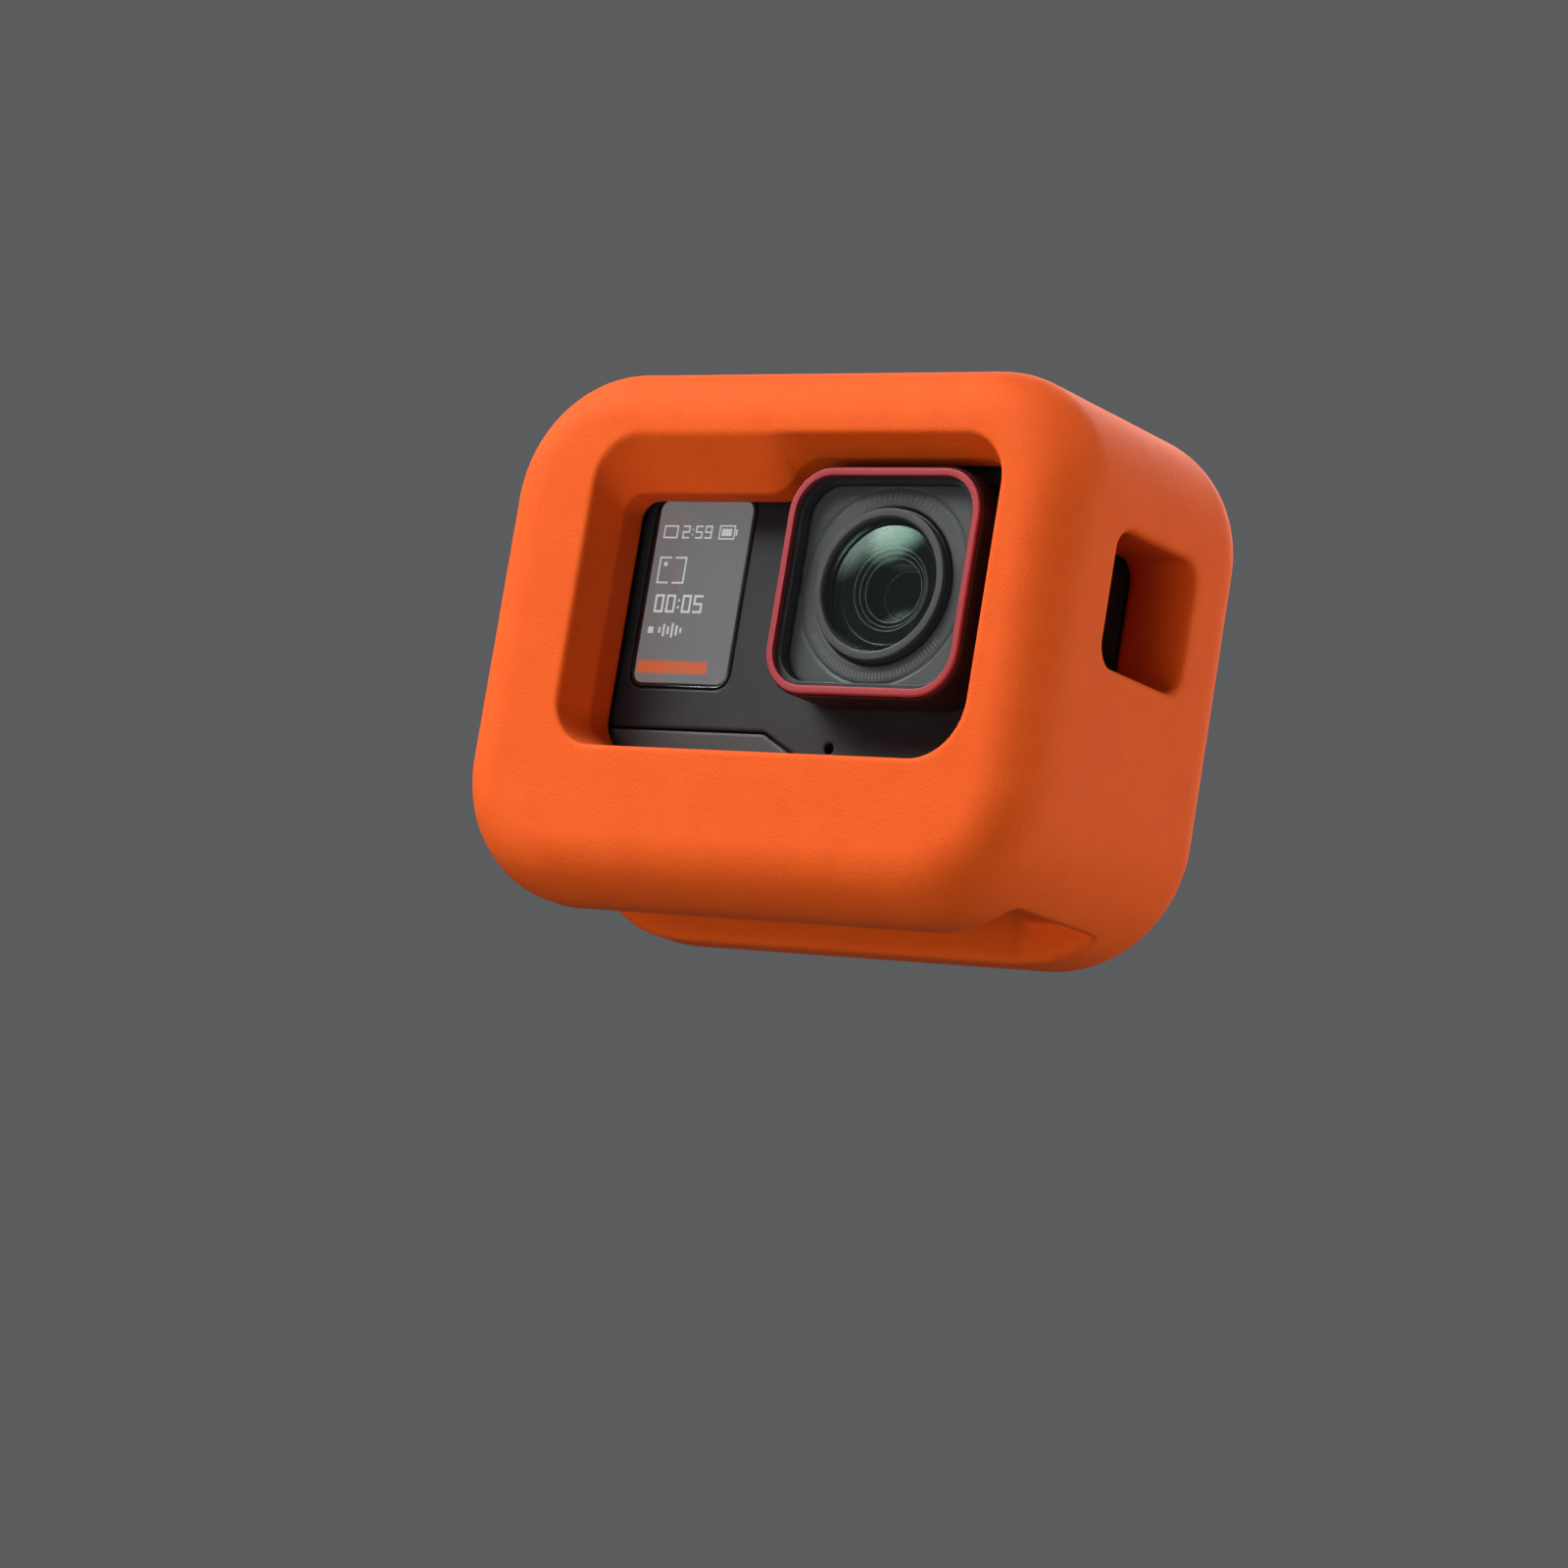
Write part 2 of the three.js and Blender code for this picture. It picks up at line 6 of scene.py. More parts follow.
import bpy
import numpy as np
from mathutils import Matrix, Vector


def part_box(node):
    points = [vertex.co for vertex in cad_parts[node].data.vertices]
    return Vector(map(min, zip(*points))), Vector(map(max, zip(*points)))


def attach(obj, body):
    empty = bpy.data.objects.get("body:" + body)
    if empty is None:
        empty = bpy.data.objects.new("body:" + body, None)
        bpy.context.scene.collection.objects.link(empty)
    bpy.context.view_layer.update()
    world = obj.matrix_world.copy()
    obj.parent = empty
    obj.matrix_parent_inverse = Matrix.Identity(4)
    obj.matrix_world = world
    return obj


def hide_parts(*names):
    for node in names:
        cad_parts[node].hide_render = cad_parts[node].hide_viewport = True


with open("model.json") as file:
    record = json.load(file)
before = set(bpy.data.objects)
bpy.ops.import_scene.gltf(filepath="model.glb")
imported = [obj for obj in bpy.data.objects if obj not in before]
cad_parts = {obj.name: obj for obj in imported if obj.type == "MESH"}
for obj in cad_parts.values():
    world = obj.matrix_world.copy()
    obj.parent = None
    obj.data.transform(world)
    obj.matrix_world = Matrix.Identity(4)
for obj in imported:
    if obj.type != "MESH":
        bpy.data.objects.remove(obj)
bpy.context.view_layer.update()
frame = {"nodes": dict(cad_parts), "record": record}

import openvdb
from mathutils import Euler, Matrix, Vector

MM = 0.001


# ---- Places, all in millimetres in the row frame ----


def box_mm(node):
    """Lowest and highest corner of a CAD node, in millimetres."""
    return [np.array(corner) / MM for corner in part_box(node)]


CASE_LOW, CASE_HIGH = box_mm("float_case")
FRONT_LOW, FRONT_HIGH = box_mm("front_housing")
FRAME_LOW, FRAME_HIGH = box_mm("main_frame")
REAR_LOW, REAR_HIGH = box_mm("rear_housing")
DISPLAY_LOW, DISPLAY_HIGH = box_mm("front_display_glass")
WIND_LOW, WIND_HIGH = box_mm("wind_guard")
DOOR_LOW, DOOR_HIGH = box_mm("battery_door")
LATCH_LOW, LATCH_HIGH = box_mm("door_latch")
SCREEN_LOW, SCREEN_HIGH = box_mm("screen_housing")
MOUNT_LOW, MOUNT_HIGH = box_mm("mount_plate")
PLATE_LOW, PLATE_HIGH = box_mm("lens_plate")
KEY_LOW, KEY_HIGH = box_mm("power_button")


def middle_xz(node):
    """Where the middle of a CAD node lies, seen from the front."""
    low, high = box_mm(node)
    return (low[0] + high[0]) / 2, (low[2] + high[2]) / 2


SHUTTER = sum(box_mm("shutter_button")) / 2
POWER = (KEY_LOW + KEY_HIGH) / 2
SCREW_PLACES = [middle_xz(f"screw_{i}") for i in (1, 2, 3, 4)]
MIC_HOLES = [middle_xz(f"microphone_{name}") for name in ("front", "left", "low")]
LENS_X, LENS_Z = middle_xz("lens_guard_frame")

BODY_LEFT, BODY_RIGHT = FRAME_LOW[0], FRAME_HIGH[0]
BODY_LOW, BODY_TOP = FRAME_LOW[2], FRAME_HIGH[2]
BODY_FRONT = WIND_LOW[1]
BODY_CORNER = 5.5
GAP = 0.3
WALL = 2.0
LENS_BORE = 11.2
BOSS_HALF, BOSS_CORNER = 13.7, 5.0
POCKET_DEPTH = 1.2
MIC_RADIUS = 0.7
SHUTTER_WELL = 5.1
KEY_SHOULDER = 33.0
DISPLAY_BORDER, DISPLAY_CORNER = 0.45, 2.0
SCREW_HEAD, SCREW_TOP, SCREW_SEAT, SCREW_END = 1.6, 12.1, 11.0, 3.2   # head radius, then y
SCREEN_HINGE, DOOR_HINGE = 3.0, 1.5     # radii of the hinge barrels

PLATE_HALF, PLATE_CORNER, PLATE_BORE = 13.5, 4.7, 10.7
GROOVE_RADIUS = 13.2
MARK_RADIUS = 12.0
MARK_ARCS = ((60, 120, 4.0), (215, 325, 2.6))   # first and last angle, and the step, in degrees
TRIM_RINGS = ((5.22, -14.2), (4.62, -13.85), (3.97, -13.6), (2.9, -10.4))   # radius and y
GUARD_HALF, GUARD_CORNER = 15.5, 6.5

CASE_CORNER = 18.4
CASE_EDGE = 8.5
CAVITY_FIT = 0.5
CAVITY_CORNER = 6.0
FRONT_FIT = 1.0
POWER_HOLE = dict(left=-10.4, right=8.5, low=36.2, high=54.0, radius=3.0)
SHUTTER_HOLE = dict(left=-27.0, right=-9.0, low=-6.0, high=8.0, radius=5.0)
DOOR_NOTCH = dict(left=-9.0, right=60.0, low=15.0, high=57.0, radius=3.0)
SCREEN_NOTCH = dict(left=-35.5, right=35.5, low=56.0, high=120.0, radius=2.0)
SCREEN_NOTCH_FRONT = 11.6
MOUNT_WAY = dict(left=-29.5, right=29.5, low=-10.5, high=9.6, radius=4.0)
SLOT_HALF, SLOT_HEIGHT, SLOT_FRONT, SLOT_REAR = 39.5, 5.5, -10.5, 8.5
CUT_SIDE, CUT_TOP, CUT_LOW = 30, 55, 12     # where the cuts from outside end, inside the cavity

# The window's outlines at the front face and at the bevel's depth, and the step in its top edge.
WINDOW_BEVEL = 5.6
WINDOW_OUTER = dict(left=-30.5, right=35.9, low=20.4, high=63.3, radii=(6.5, 8.0, 6.5, 7.0))
WINDOW_INNER = dict(left=-28.9, right=34.0, low=21.2, high=61.35, radii=(5.0, 6.5, 5.5, 2.8))
STEP_DROP, STEP_START, STEP_END, STEP_RADIUS = 5.0, -5.2, 2.9, 4.58


# ---- Solid shapes as distance fields: negative inside, millimetres ----


def rect(u, v, left, right, low, high, radius):
    """Distance to a rectangle with round corners."""
    du = np.maximum(left - u, u - right) + radius
    dv = np.maximum(low - v, v - high) + radius
    outside = np.hypot(np.maximum(du, 0), np.maximum(dv, 0))
    return outside + np.minimum(np.maximum(du, dv), 0) - radius


def both(a, b, radius):
    """Where two fields overlap, with a round edge of that radius."""
    outside = np.hypot(np.maximum(a + radius, 0), np.maximum(b + radius, 0))
    return outside + np.minimum(np.maximum(a, b) + radius, 0) - radius


def without(a, b, radius):
    """The first field with the second cut out of it."""
    return both(a, -b, radius)


def either(a, b, radius):
    """Two fields joined, with a filleted crease."""
    return -both(-a, -b, radius)


def slab_field(outline, along, low, high, edge):
    """An outline field pushed along one axis from low to high, with round edges."""
    return both(outline, np.maximum(low - along, along - high), edge)


def disc(u, v, centre_u, centre_v, radius):
    return np.hypot(u - centre_u, v - centre_v) - radius


def slope_of(field, x, y, z, step):
    """How fast a field changes along each axis."""
    changes = (
        field(x + step, y, z) - field(x - step, y, z),
        field(x, y + step, z) - field(x, y - step, z),
        field(x, y, z + step) - field(x, y, z - step),
    )
    return [change / (2 * step) for change in changes]


def sloped(field, x, y, z):
    """A field divided by its slope, so that round edges keep their radius."""
    slope = np.sqrt(sum(change**2 for change in slope_of(field, x, y, z, 0.2)))
    return field(x, y, z) / np.clip(slope, 0.8, 3)


def settle(field, points):
    """Moves points onto the surface where the field is zero."""
    for _ in range(2):
        value = field(*points.T)
        slope = np.stack(slope_of(field, *points.T, 0.05), axis=1)
        square = np.maximum((slope * slope).sum(axis=1), 0.3)
        points = points - slope * (np.clip(value, -0.2, 0.2) / square)[:, None]
    return points


def field_mesh(name, field, low, high, step):
    """A mesh of the surface where the field is zero, inside a box."""
    pad = 2 * step
    low = np.asarray(low, float) - pad
    count = np.ceil((np.asarray(high, float) + pad - low) / step).astype(int) + 1
    axes = [low[i] + step * np.arange(count[i]) for i in range(3)]
    x, y, z = np.meshgrid(*axes, indexing="ij", sparse=True)
    values = np.broadcast_to(field(x, y, z), tuple(count)).astype(np.float32)
    grid = openvdb.FloatGrid(3 * step)
    grid.copyFromArray(values)
    points, quads = grid.convertToQuads(0.0)
    points = settle(field, points.astype(float) * step + low)
    return mesh_object(name, points, quads)


# ---- Meshes ----


def mesh_object(name, points, faces):
    """A smooth-shaded object from points in millimetres, with its faces turned outwards."""
    points = np.asarray(points, float)
    faces = [tuple(map(int, face)) for face in faces]
    fans = np.array([(f[0], f[i], f[i + 1]) for f in faces for i in range(1, len(f) - 1)])
    a, b, c = points[fans[:, 0]], points[fans[:, 1]], points[fans[:, 2]]
    if np.einsum("ij,ij->i", a, np.cross(b, c)).sum() < 0:
        faces = [face[::-1] for face in faces]
    mesh = bpy.data.meshes.new(name)
    mesh.from_pydata((points * MM).tolist(), [], faces)
    mesh.validate()
    mesh.shade_smooth()
    piece = bpy.data.objects.new(name, mesh)
    bpy.context.scene.collection.objects.link(piece)
    return piece


def in_plane(plane, u, v, w):
    """Points from two coordinates in a plane and one along its normal."""
    order = {"xz": (u, w, v), "xy": (u, v, w), "yz": (w, u, v)}[plane]
    return np.stack(np.broadcast_arrays(*order), axis=-1)


def round_outline(centre, half, radius, inset=0.0, steps=8):
    """A rectangle with round corners, drawn in by an inset; always the same number of points."""
    corner = max(radius - inset, 0.04)
    reach = np.array(half) - inset - corner
    points = []
    for quarter in range(4):
        angles = np.radians(90 * quarter + np.linspace(0, 90, steps + 1))
        sign = (1 if quarter in (0, 3) else -1, 1 if quarter in (0, 1) else -1)
        u = centre[0] + sign[0] * reach[0] + corner * np.cos(angles)
        v = centre[1] + sign[1] * reach[1] + corner * np.sin(angles)
        points.extend(zip(u, v))
    return np.array(points)


def circle_outline(centre, radius, sides):
    angles = 2 * np.pi * np.arange(sides) / sides
    return np.stack([centre[0] + radius * np.cos(angles), centre[1] + radius * np.sin(angles)], axis=1)


def soften(profile, radius, closed=True, steps=4):
    """A profile with each corner replaced by a small curve."""
    count = len(profile)
    points = [np.array(p, float) for p in profile]
    made = []
    for i, corner in enumerate(points):
        if not closed and i in (0, count - 1):
            made.append(corner)
            continue
        before, after = points[i - 1] - corner, points[(i + 1) % count] - corner
        reach = [min(radius, 0.45 * np.linalg.norm(side)) for side in (before, after)]
        start = corner + before / np.linalg.norm(before) * reach[0]
        end = corner + after / np.linalg.norm(after) * reach[1]
        for t in np.linspace(0, 1, steps + 1):
            made.append((1 - t) ** 2 * start + 2 * t * (1 - t) * corner + t**2 * end)
    return made


def ring_mesh(name, rings, wrapped):
    """Skins rings of equal length; a wrapped mesh joins last to first, else the ends are closed."""
    count = len(rings[0])
    faces = []
    last = len(rings) if wrapped else len(rings) - 1
    for r in range(last):
        low, high = r * count, ((r + 1) % len(rings)) * count
        for i in range(count):
            j = (i + 1) % count
            faces.append((low + i, low + j, high + j, high + i))
    if not wrapped:
        faces.append(tuple(range(count))[::-1])
        faces.append(tuple(range((len(rings) - 1) * count, len(rings) * count)))
    return mesh_object(name, np.concatenate(rings), faces)


def slab_piece(name, plane, centre, half, radius, low, high, edge):
    """A flat piece with a rounded outline and round edges."""
    turns = np.radians(np.linspace(0, 90, 5))
    profile = [(edge * 1.6, low)]
    profile += [(edge * (1 - math.sin(a)), low + edge * (1 - math.cos(a))) for a in turns]
    profile += [(edge * (1 - math.cos(a)), high - edge * (1 - math.sin(a))) for a in turns]
    profile += [(edge * 1.6, high)]
    rings = []
    for inset, w in profile:
        outline = round_outline(centre, half, radius, inset)
        rings.append(in_plane(plane, outline[:, 0], outline[:, 1], w))
    return ring_mesh(name, rings, wrapped=False)


def node_slab(name, node, plane, radius, edge):
    """A flat piece that fills a CAD node's box."""
    low, high = box_mm(node)
    u, v, w = {"xz": (0, 2, 1), "xy": (0, 1, 2)}[plane]
    centre = ((low[u] + high[u]) / 2, (low[v] + high[v]) / 2)
    half = ((high[u] - low[u]) / 2, (high[v] - low[v]) / 2)
    return slab_piece(name, plane, centre, half, radius, low[w], high[w], edge)


def hoop_piece(name, plane, centre, half, radius, profile, edge):
    """A closed profile of (inset, height) swept round a rounded rectangle."""
    rings = []
    for inset, w in soften(profile, edge):
        outline = round_outline(centre, half, radius, inset)
        rings.append(in_plane(plane, outline[:, 0], outline[:, 1], w))
    return ring_mesh(name, rings, wrapped=True)


def turned_piece(name, profile, centre, plane="xz", edge=0.15, hollow=True, sides=96):
    """A profile of (radius, height) turned about the plane's normal."""
    rings = []
    for radius, w in soften(profile, edge, closed=hollow):
        outline = circle_outline(centre, max(radius, 0.01), sides)
        rings.append(in_plane(plane, outline[:, 0], outline[:, 1], w))
    return ring_mesh(name, rings, wrapped=hollow)


def bars_piece(name, plane, bars, low, high):
    """Many thin flat bars as one mesh; each is a centre, a half size and an angle in the plane."""
    points, faces = [], []
    for (u, v), (half_u, half_v), angle in bars:
        along = np.array([math.cos(angle), math.sin(angle)])
        across = np.array([-along[1], along[0]])
        base = len(points)
        for w in (low, high):
            for su, sv in ((-1, -1), (1, -1), (1, 1), (-1, 1)):
                spot = np.array([u, v]) + su * half_u * along + sv * half_v * across
                points.append(in_plane(plane, spot[0], spot[1], w))
        faces.append([base + i for i in (3, 2, 1, 0)])
        faces.append([base + i for i in (4, 5, 6, 7)])
        for i in range(4):
            j = (i + 1) % 4
            faces.append([base + i, base + j, base + 4 + j, base + 4 + i])
    piece = mesh_object(name, points, faces)
    piece.data.shade_flat()
    return piece


def settle_piece(piece, body, slot, material, *nodes):
    """Gives a piece its body and material, and hides the CAD nodes that it stands for; the slot is not
    used.
    """
    piece.data.materials.clear()
    piece.data.materials.append(material)
    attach(piece, body)
    if nodes:
        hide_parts(*nodes)


# ---- Camera, lights and stage ----


def add_camera():
    """The view from low on the right of the front, with the top leaning to the right."""
    heading, pitch, roll = math.radians(37.22), math.radians(8.73), math.radians(9.34)
    data = bpy.data.cameras.new("camera")
    data.lens = 118.68
    data.sensor_width = 36.0
    camera = bpy.data.objects.new("camera", data)
    bpy.context.scene.collection.objects.link(camera)
    turn = Euler((math.pi / 2 + pitch, 0, heading)).to_matrix() @ Matrix.Rotation(roll, 3, "Z")
    camera.matrix_world = Matrix.Translation((0.4079, -0.5468, -0.0848)) @ turn.to_4x4()
    bpy.context.scene.camera = camera


LIGHT_TARGET = Vector((0, 0, 0.037))
SOFTBOX_MIDDLE = (0.5, 0.5, 0.0)
SOFTBOX_BRIGHT, SOFTBOX_END = 0.1, 0.5      # where the fade starts and ends, as shares of its width
SOFTBOX_GAIN = 3.25     # makes up for the faded edges


def soften_light(data):
    """Fades an area light from its middle to its edge, as a softbox does, and keeps its power."""
    data.use_nodes = True
    tree = data.node_tree
    place = tree.nodes.new("ShaderNodeNewGeometry").outputs["Parametric"]
    offset = tree.nodes.new("ShaderNodeVectorMath")
    offset.operation = "DISTANCE"
    offset.inputs[1].default_value = SOFTBOX_MIDDLE
    tree.links.new(place, offset.inputs[0])
    fade = tree.nodes.new("ShaderNodeMapRange")
    fade.interpolation_type = "SMOOTHSTEP"
    fade.inputs["From Min"].default_value = SOFTBOX_END
    fade.inputs["From Max"].default_value = SOFTBOX_BRIGHT
    fade.inputs["To Max"].default_value = SOFTBOX_GAIN
    tree.links.new(offset.outputs["Value"], fade.inputs["Value"])
    tree.links.new(fade.outputs["Result"], tree.nodes["Emission"].inputs["Strength"])


def add_area_light(name, place, power, size, colour=(1, 1, 1), mirrored=True):
    """A soft light aimed at the object; one that isn't mirrored stays out of glossy reflections."""
    data = bpy.data.lights.new(name, "AREA")
    data.shape = "RECTANGLE"
    data.size, data.size_y = size
    data.energy = power
    data.color = colour
    soften_light(data)
    light = bpy.data.objects.new(name, data)
    bpy.context.scene.collection.objects.link(light)
    light.visible_glossy = mirrored
    light.location = place
    light.rotation_euler = (LIGHT_TARGET - Vector(place)).to_track_quat("-Z", "Y").to_euler()


def add_world():
    world = bpy.data.worlds.new("studio")
    bpy.context.scene.world = world
    world.use_nodes = True
    background = world.node_tree.nodes["Background"]
    background.inputs["Color"].default_value = (0.80, 0.83, 0.86, 1)
    background.inputs["Strength"].default_value = 0.13


def add_floor():
    """A pale floor, seen from above only: the camera looks up from below its level."""
    size = 12.0
    corners = [(-size, -size, 0), (size, -size, 0), (size, size, 0), (-size, size, 0)]
    mesh = bpy.data.meshes.new("floor")
    mesh.from_pydata(corners, [], [(0, 1, 2, 3)])
    floor = bpy.data.objects.new("floor", mesh)
    bpy.context.scene.collection.objects.link(floor)
    paint = bpy.data.materials.new("floor_paint")
    paint.use_nodes = True
    nodes, links = paint.node_tree.nodes, paint.node_tree.links
    shader = nodes["Principled BSDF"]
    shader.inputs["Base Color"].default_value = (0.50, 0.51, 0.52, 1)
    shader.inputs["Roughness"].default_value = 0.7
    clear = nodes.new("ShaderNodeBsdfTransparent")
    geometry = nodes.new("ShaderNodeNewGeometry")
    path = nodes.new("ShaderNodeLightPath")
    from_above = nodes.new("ShaderNodeMath")
    from_above.operation = "GREATER_THAN"
    mixer = nodes.new("ShaderNodeMixShader")
    links.new(path.outputs["Is Camera Ray"], from_above.inputs[0])
    links.new(geometry.outputs["Backfacing"], from_above.inputs[1])
    links.new(from_above.outputs[0], mixer.inputs[0])
    links.new(clear.outputs[0], mixer.inputs[1])
    links.new(shader.outputs[0], mixer.inputs[2])
    links.new(mixer.outputs[0], nodes["Material Output"].inputs["Surface"])
    mesh.materials.append(paint)


def add_lights():
    cool = (0.95, 0.97, 1)
    add_area_light("key", (-0.735, -0.92, 1.06), 22, (1.3, 1.3))
    add_area_light("sky", (-1.05, -0.45, 0.85), 8.5, (1.3, 1.3))
    add_area_light("side", (1.2, 0.7, 0.25), 12, (0.9, 1.1), cool)
    add_area_light("fill", (0.15, -1.2, -0.42), 6.5, (1.2, 1.2), mirrored=False)
    add_area_light("back", (-0.3, 1.2, 0.8), 14, (1.4, 1.0), cool)


# ---- Materials ----


def plain(name, colour, roughness, metallic=0.0, **sockets):
    """A Principled material with its constants on the shader's own sockets."""
    made = bpy.data.materials.new(name)
    made.use_nodes = True
    shader = made.node_tree.nodes["Principled BSDF"]
    shader.inputs["Base Color"].default_value = (*colour, 1)
    shader.inputs["Roughness"].default_value = roughness
    shader.inputs["Metallic"].default_value = metallic
    for socket, value in sockets.items():
        shader.inputs[socket.replace("_", " ")].default_value = value
    return made


def texture(made, kind, size, stretch=(1, 1, 1), **values):
    """A noise or cell texture in the piece's own space, with features of a size in millimetres."""
    nodes, links = made.node_tree.nodes, made.node_tree.links
    place = nodes.get("place") or nodes.new("ShaderNodeTexCoord")
    place.name = "place"
    mapping = nodes.new("ShaderNodeMapping")
    mapping.inputs["Scale"].default_value = stretch
    links.new(place.outputs["Object"], mapping.inputs["Vector"])
    made_texture = nodes.new(kind)
    made_texture.inputs["Scale"].default_value = 1 / (size * MM)
    for socket, value in values.items():
        made_texture.inputs[socket.replace("_", " ")].default_value = value
    links.new(mapping.outputs["Vector"], made_texture.inputs["Vector"])
    return made_texture


def bump(made, height, depth):
    """Raises the surface by a texture's output; bumps add up. The depth is in millimetres."""
    nodes, links = made.node_tree.nodes, made.node_tree.links
    shader = nodes["Principled BSDF"]
    raised = nodes.new("ShaderNodeBump")
    raised.inputs["Distance"].default_value = depth * MM
    raised.inputs["Strength"].default_value = 1.0
    links.new(height, raised.inputs["Height"])
    before = shader.inputs["Normal"].links
    if before:
        links.new(before[0].from_socket, raised.inputs["Normal"])
    links.new(raised.outputs["Normal"], shader.inputs["Normal"])


def vary(made, factor, socket, low, high, start=0.3, end=0.7):
    """Drives the colour or the roughness between two values by a texture's output."""
    nodes, links = made.node_tree.nodes, made.node_tree.links
    ramp = nodes.new("ShaderNodeMapRange")
    ramp.inputs["From Min"].default_value = start
    ramp.inputs["From Max"].default_value = end
    links.new(factor, ramp.inputs["Value"])
    target = nodes["Principled BSDF"].inputs[socket]
    if socket == "Roughness":
        ramp.inputs["To Min"].default_value = low
        ramp.inputs["To Max"].default_value = high
        links.new(ramp.outputs["Result"], target)
        return
    mixer = nodes.new("ShaderNodeMix")
    mixer.data_type = "RGBA"
    mixer.inputs["A"].default_value = (*low, 1)
    mixer.inputs["B"].default_value = (*high, 1)
    links.new(ramp.outputs["Result"], mixer.inputs["Factor"])
    links.new(mixer.outputs["Result"], target)


def grain(made, size, depth=0.0, roughness=None, colours=None, stretch=(1, 1, 1), **values):
    """Adds noise of a size in millimetres, which may raise the surface or vary its gloss or colour."""
    noise = texture(made, "ShaderNodeTexNoise", size, stretch, **values).outputs["Fac"]
    if roughness:
        vary(made, noise, "Roughness", *roughness)
    if colours:
        vary(made, noise, "Base Color", *colours)
    if depth:
        bump(made, noise, depth)


def foam_material():
    """Moulded closed-cell foam: matt, faintly mottled, with fine cells."""
    made = plain("foam", (0.86, 0.108, 0.008), 0.8, Specular_IOR_Level=0.25)
    grain(made, 5, colours=((0.84, 0.103, 0.008), (0.88, 0.114, 0.010)), Detail=3.0)
    grain(made, 0.45, 0.035, (0.70, 0.86), Detail=2.0, Roughness=0.6)
    cells = texture(made, "ShaderNodeTexVoronoi", 0.42)
    bump(made, cells.outputs["Distance"], 0.035)
    return made


def shell_material(name="shell", colour=(0.009, 0.010, 0.012), lighter=(0.014, 0.015, 0.017)):
    """Dark moulded plastic with a spark-eroded texture."""
    made = plain(name, colour, 0.55)
    grain(made, 5, colours=(colour, lighter), Detail=2.0)
    grain(made, 0.14, 0.012, (0.45, 0.65), Detail=1.0)
    return made


def wind_guard_material():
    return shell_material("wind_guard", (0.046, 0.048, 0.052), (0.057, 0.059, 0.063))


def black_material(name="black"):
    made = plain(name, (0.008, 0.008, 0.009), 0.35)
    grain(made, 2.0, roughness=(0.30, 0.42), Detail=2.0)
    grain(made, 0.1, 0.003)
    return made


def baffle_material():
    """Matt black flocking that gives back almost no gloss."""
    made = plain("baffle", (0.003, 0.003, 0.004), 0.7, Specular_IOR_Level=0.06)
    grain(made, 0.15, roughness=(0.6, 0.8))
    return made


def guard_material():
    made = plain("guard_black", (0.010, 0.009, 0.011), 0.4)
    grain(made, 3.0, roughness=(0.34, 0.46), Detail=2.0)
    grain(made, 0.12, 0.004)
    return made


def accent_material(name="accent"):
    """Red anodised metal, finely blasted."""
    made = plain(name, (0.38, 0.042, 0.050), 0.45, 0.4)
    colours = (0.35, 0.038, 0.045), (0.41, 0.047, 0.056)
    grain(made, 0.12, 0.004, (0.40, 0.52), colours, Detail=2.0)
    return made


def plate_material():
    """Dark anodised metal with a fine blasted grain."""
    made = plain("lens_plate", (0.075, 0.082, 0.080), 0.5, 0.2)
    grain(made, 0.1, 0.003, (0.45, 0.6), Detail=2.0)
    grain(made, 6.0, colours=((0.068, 0.075, 0.073), (0.082, 0.089, 0.087)))
    return made


def ring_material(name="lens_ring", colour=(0.070, 0.071, 0.071)):
    made = plain(name, colour, 0.45, 0.3)
    grain(made, 0.08, 0.002, (0.38, 0.52), Detail=2.0)
    return made


def mark_material():
    """Grey printed marks, a little worn."""
    made = plain("mark_paint", (0.16, 0.165, 0.17), 0.5)
    colours = (0.145, 0.15, 0.155), (0.175, 0.18, 0.185)
    grain(made, 0.5, 0, (0.45, 0.6), colours, Detail=2.0)
    return made


def rubber_material(name="rubber"):
    made = plain(name, (0.015, 0.015, 0.016), 0.8)
    grain(made, 0.2, 0.01, (0.7, 0.9), Detail=2.0)
    return made


def brushed_steel(name, colour=(0.48, 0.48, 0.49)):
    made = plain(name, colour, 0.3, 1.0)
    grain(made, 0.5, 0.004, (0.22, 0.42), stretch=(0.06, 1, 1), Detail=3.0)
    return made


def board_material():
    """A green circuit board with lighter, raised tracks."""
    made = plain("board", (0.012, 0.085, 0.032), 0.4)
    tracks = texture(made, "ShaderNodeTexVoronoi", 1.6).outputs["Distance"]
    vary(made, tracks, "Base Color", (0.010, 0.070, 0.026), (0.030, 0.150, 0.060), 0.35, 0.4)
    bump(made, tracks, 0.03)
    return made


def battery_material():
    """A dark printed wrap, faintly wrinkled along its length."""
    made = plain("battery_wrap", (0.022, 0.023, 0.027), 0.42)
    grain(made, 4.0, roughness=(0.35, 0.5), Detail=2.0)
    grain(made, 1.5, 0.02, stretch=(0.3, 1, 1))
    return made


def lit(name, colour, strength):
    """A lit display surface: a dark base that glows evenly, with a faint pixel grain."""
    made = plain(
        name, [0.3 * part for part in colour], 0.35,
        Emission_Color=(*colour, 1), Emission_Strength=strength,
    )
    grain(made, 0.1, roughness=(0.3, 0.4))
    return made


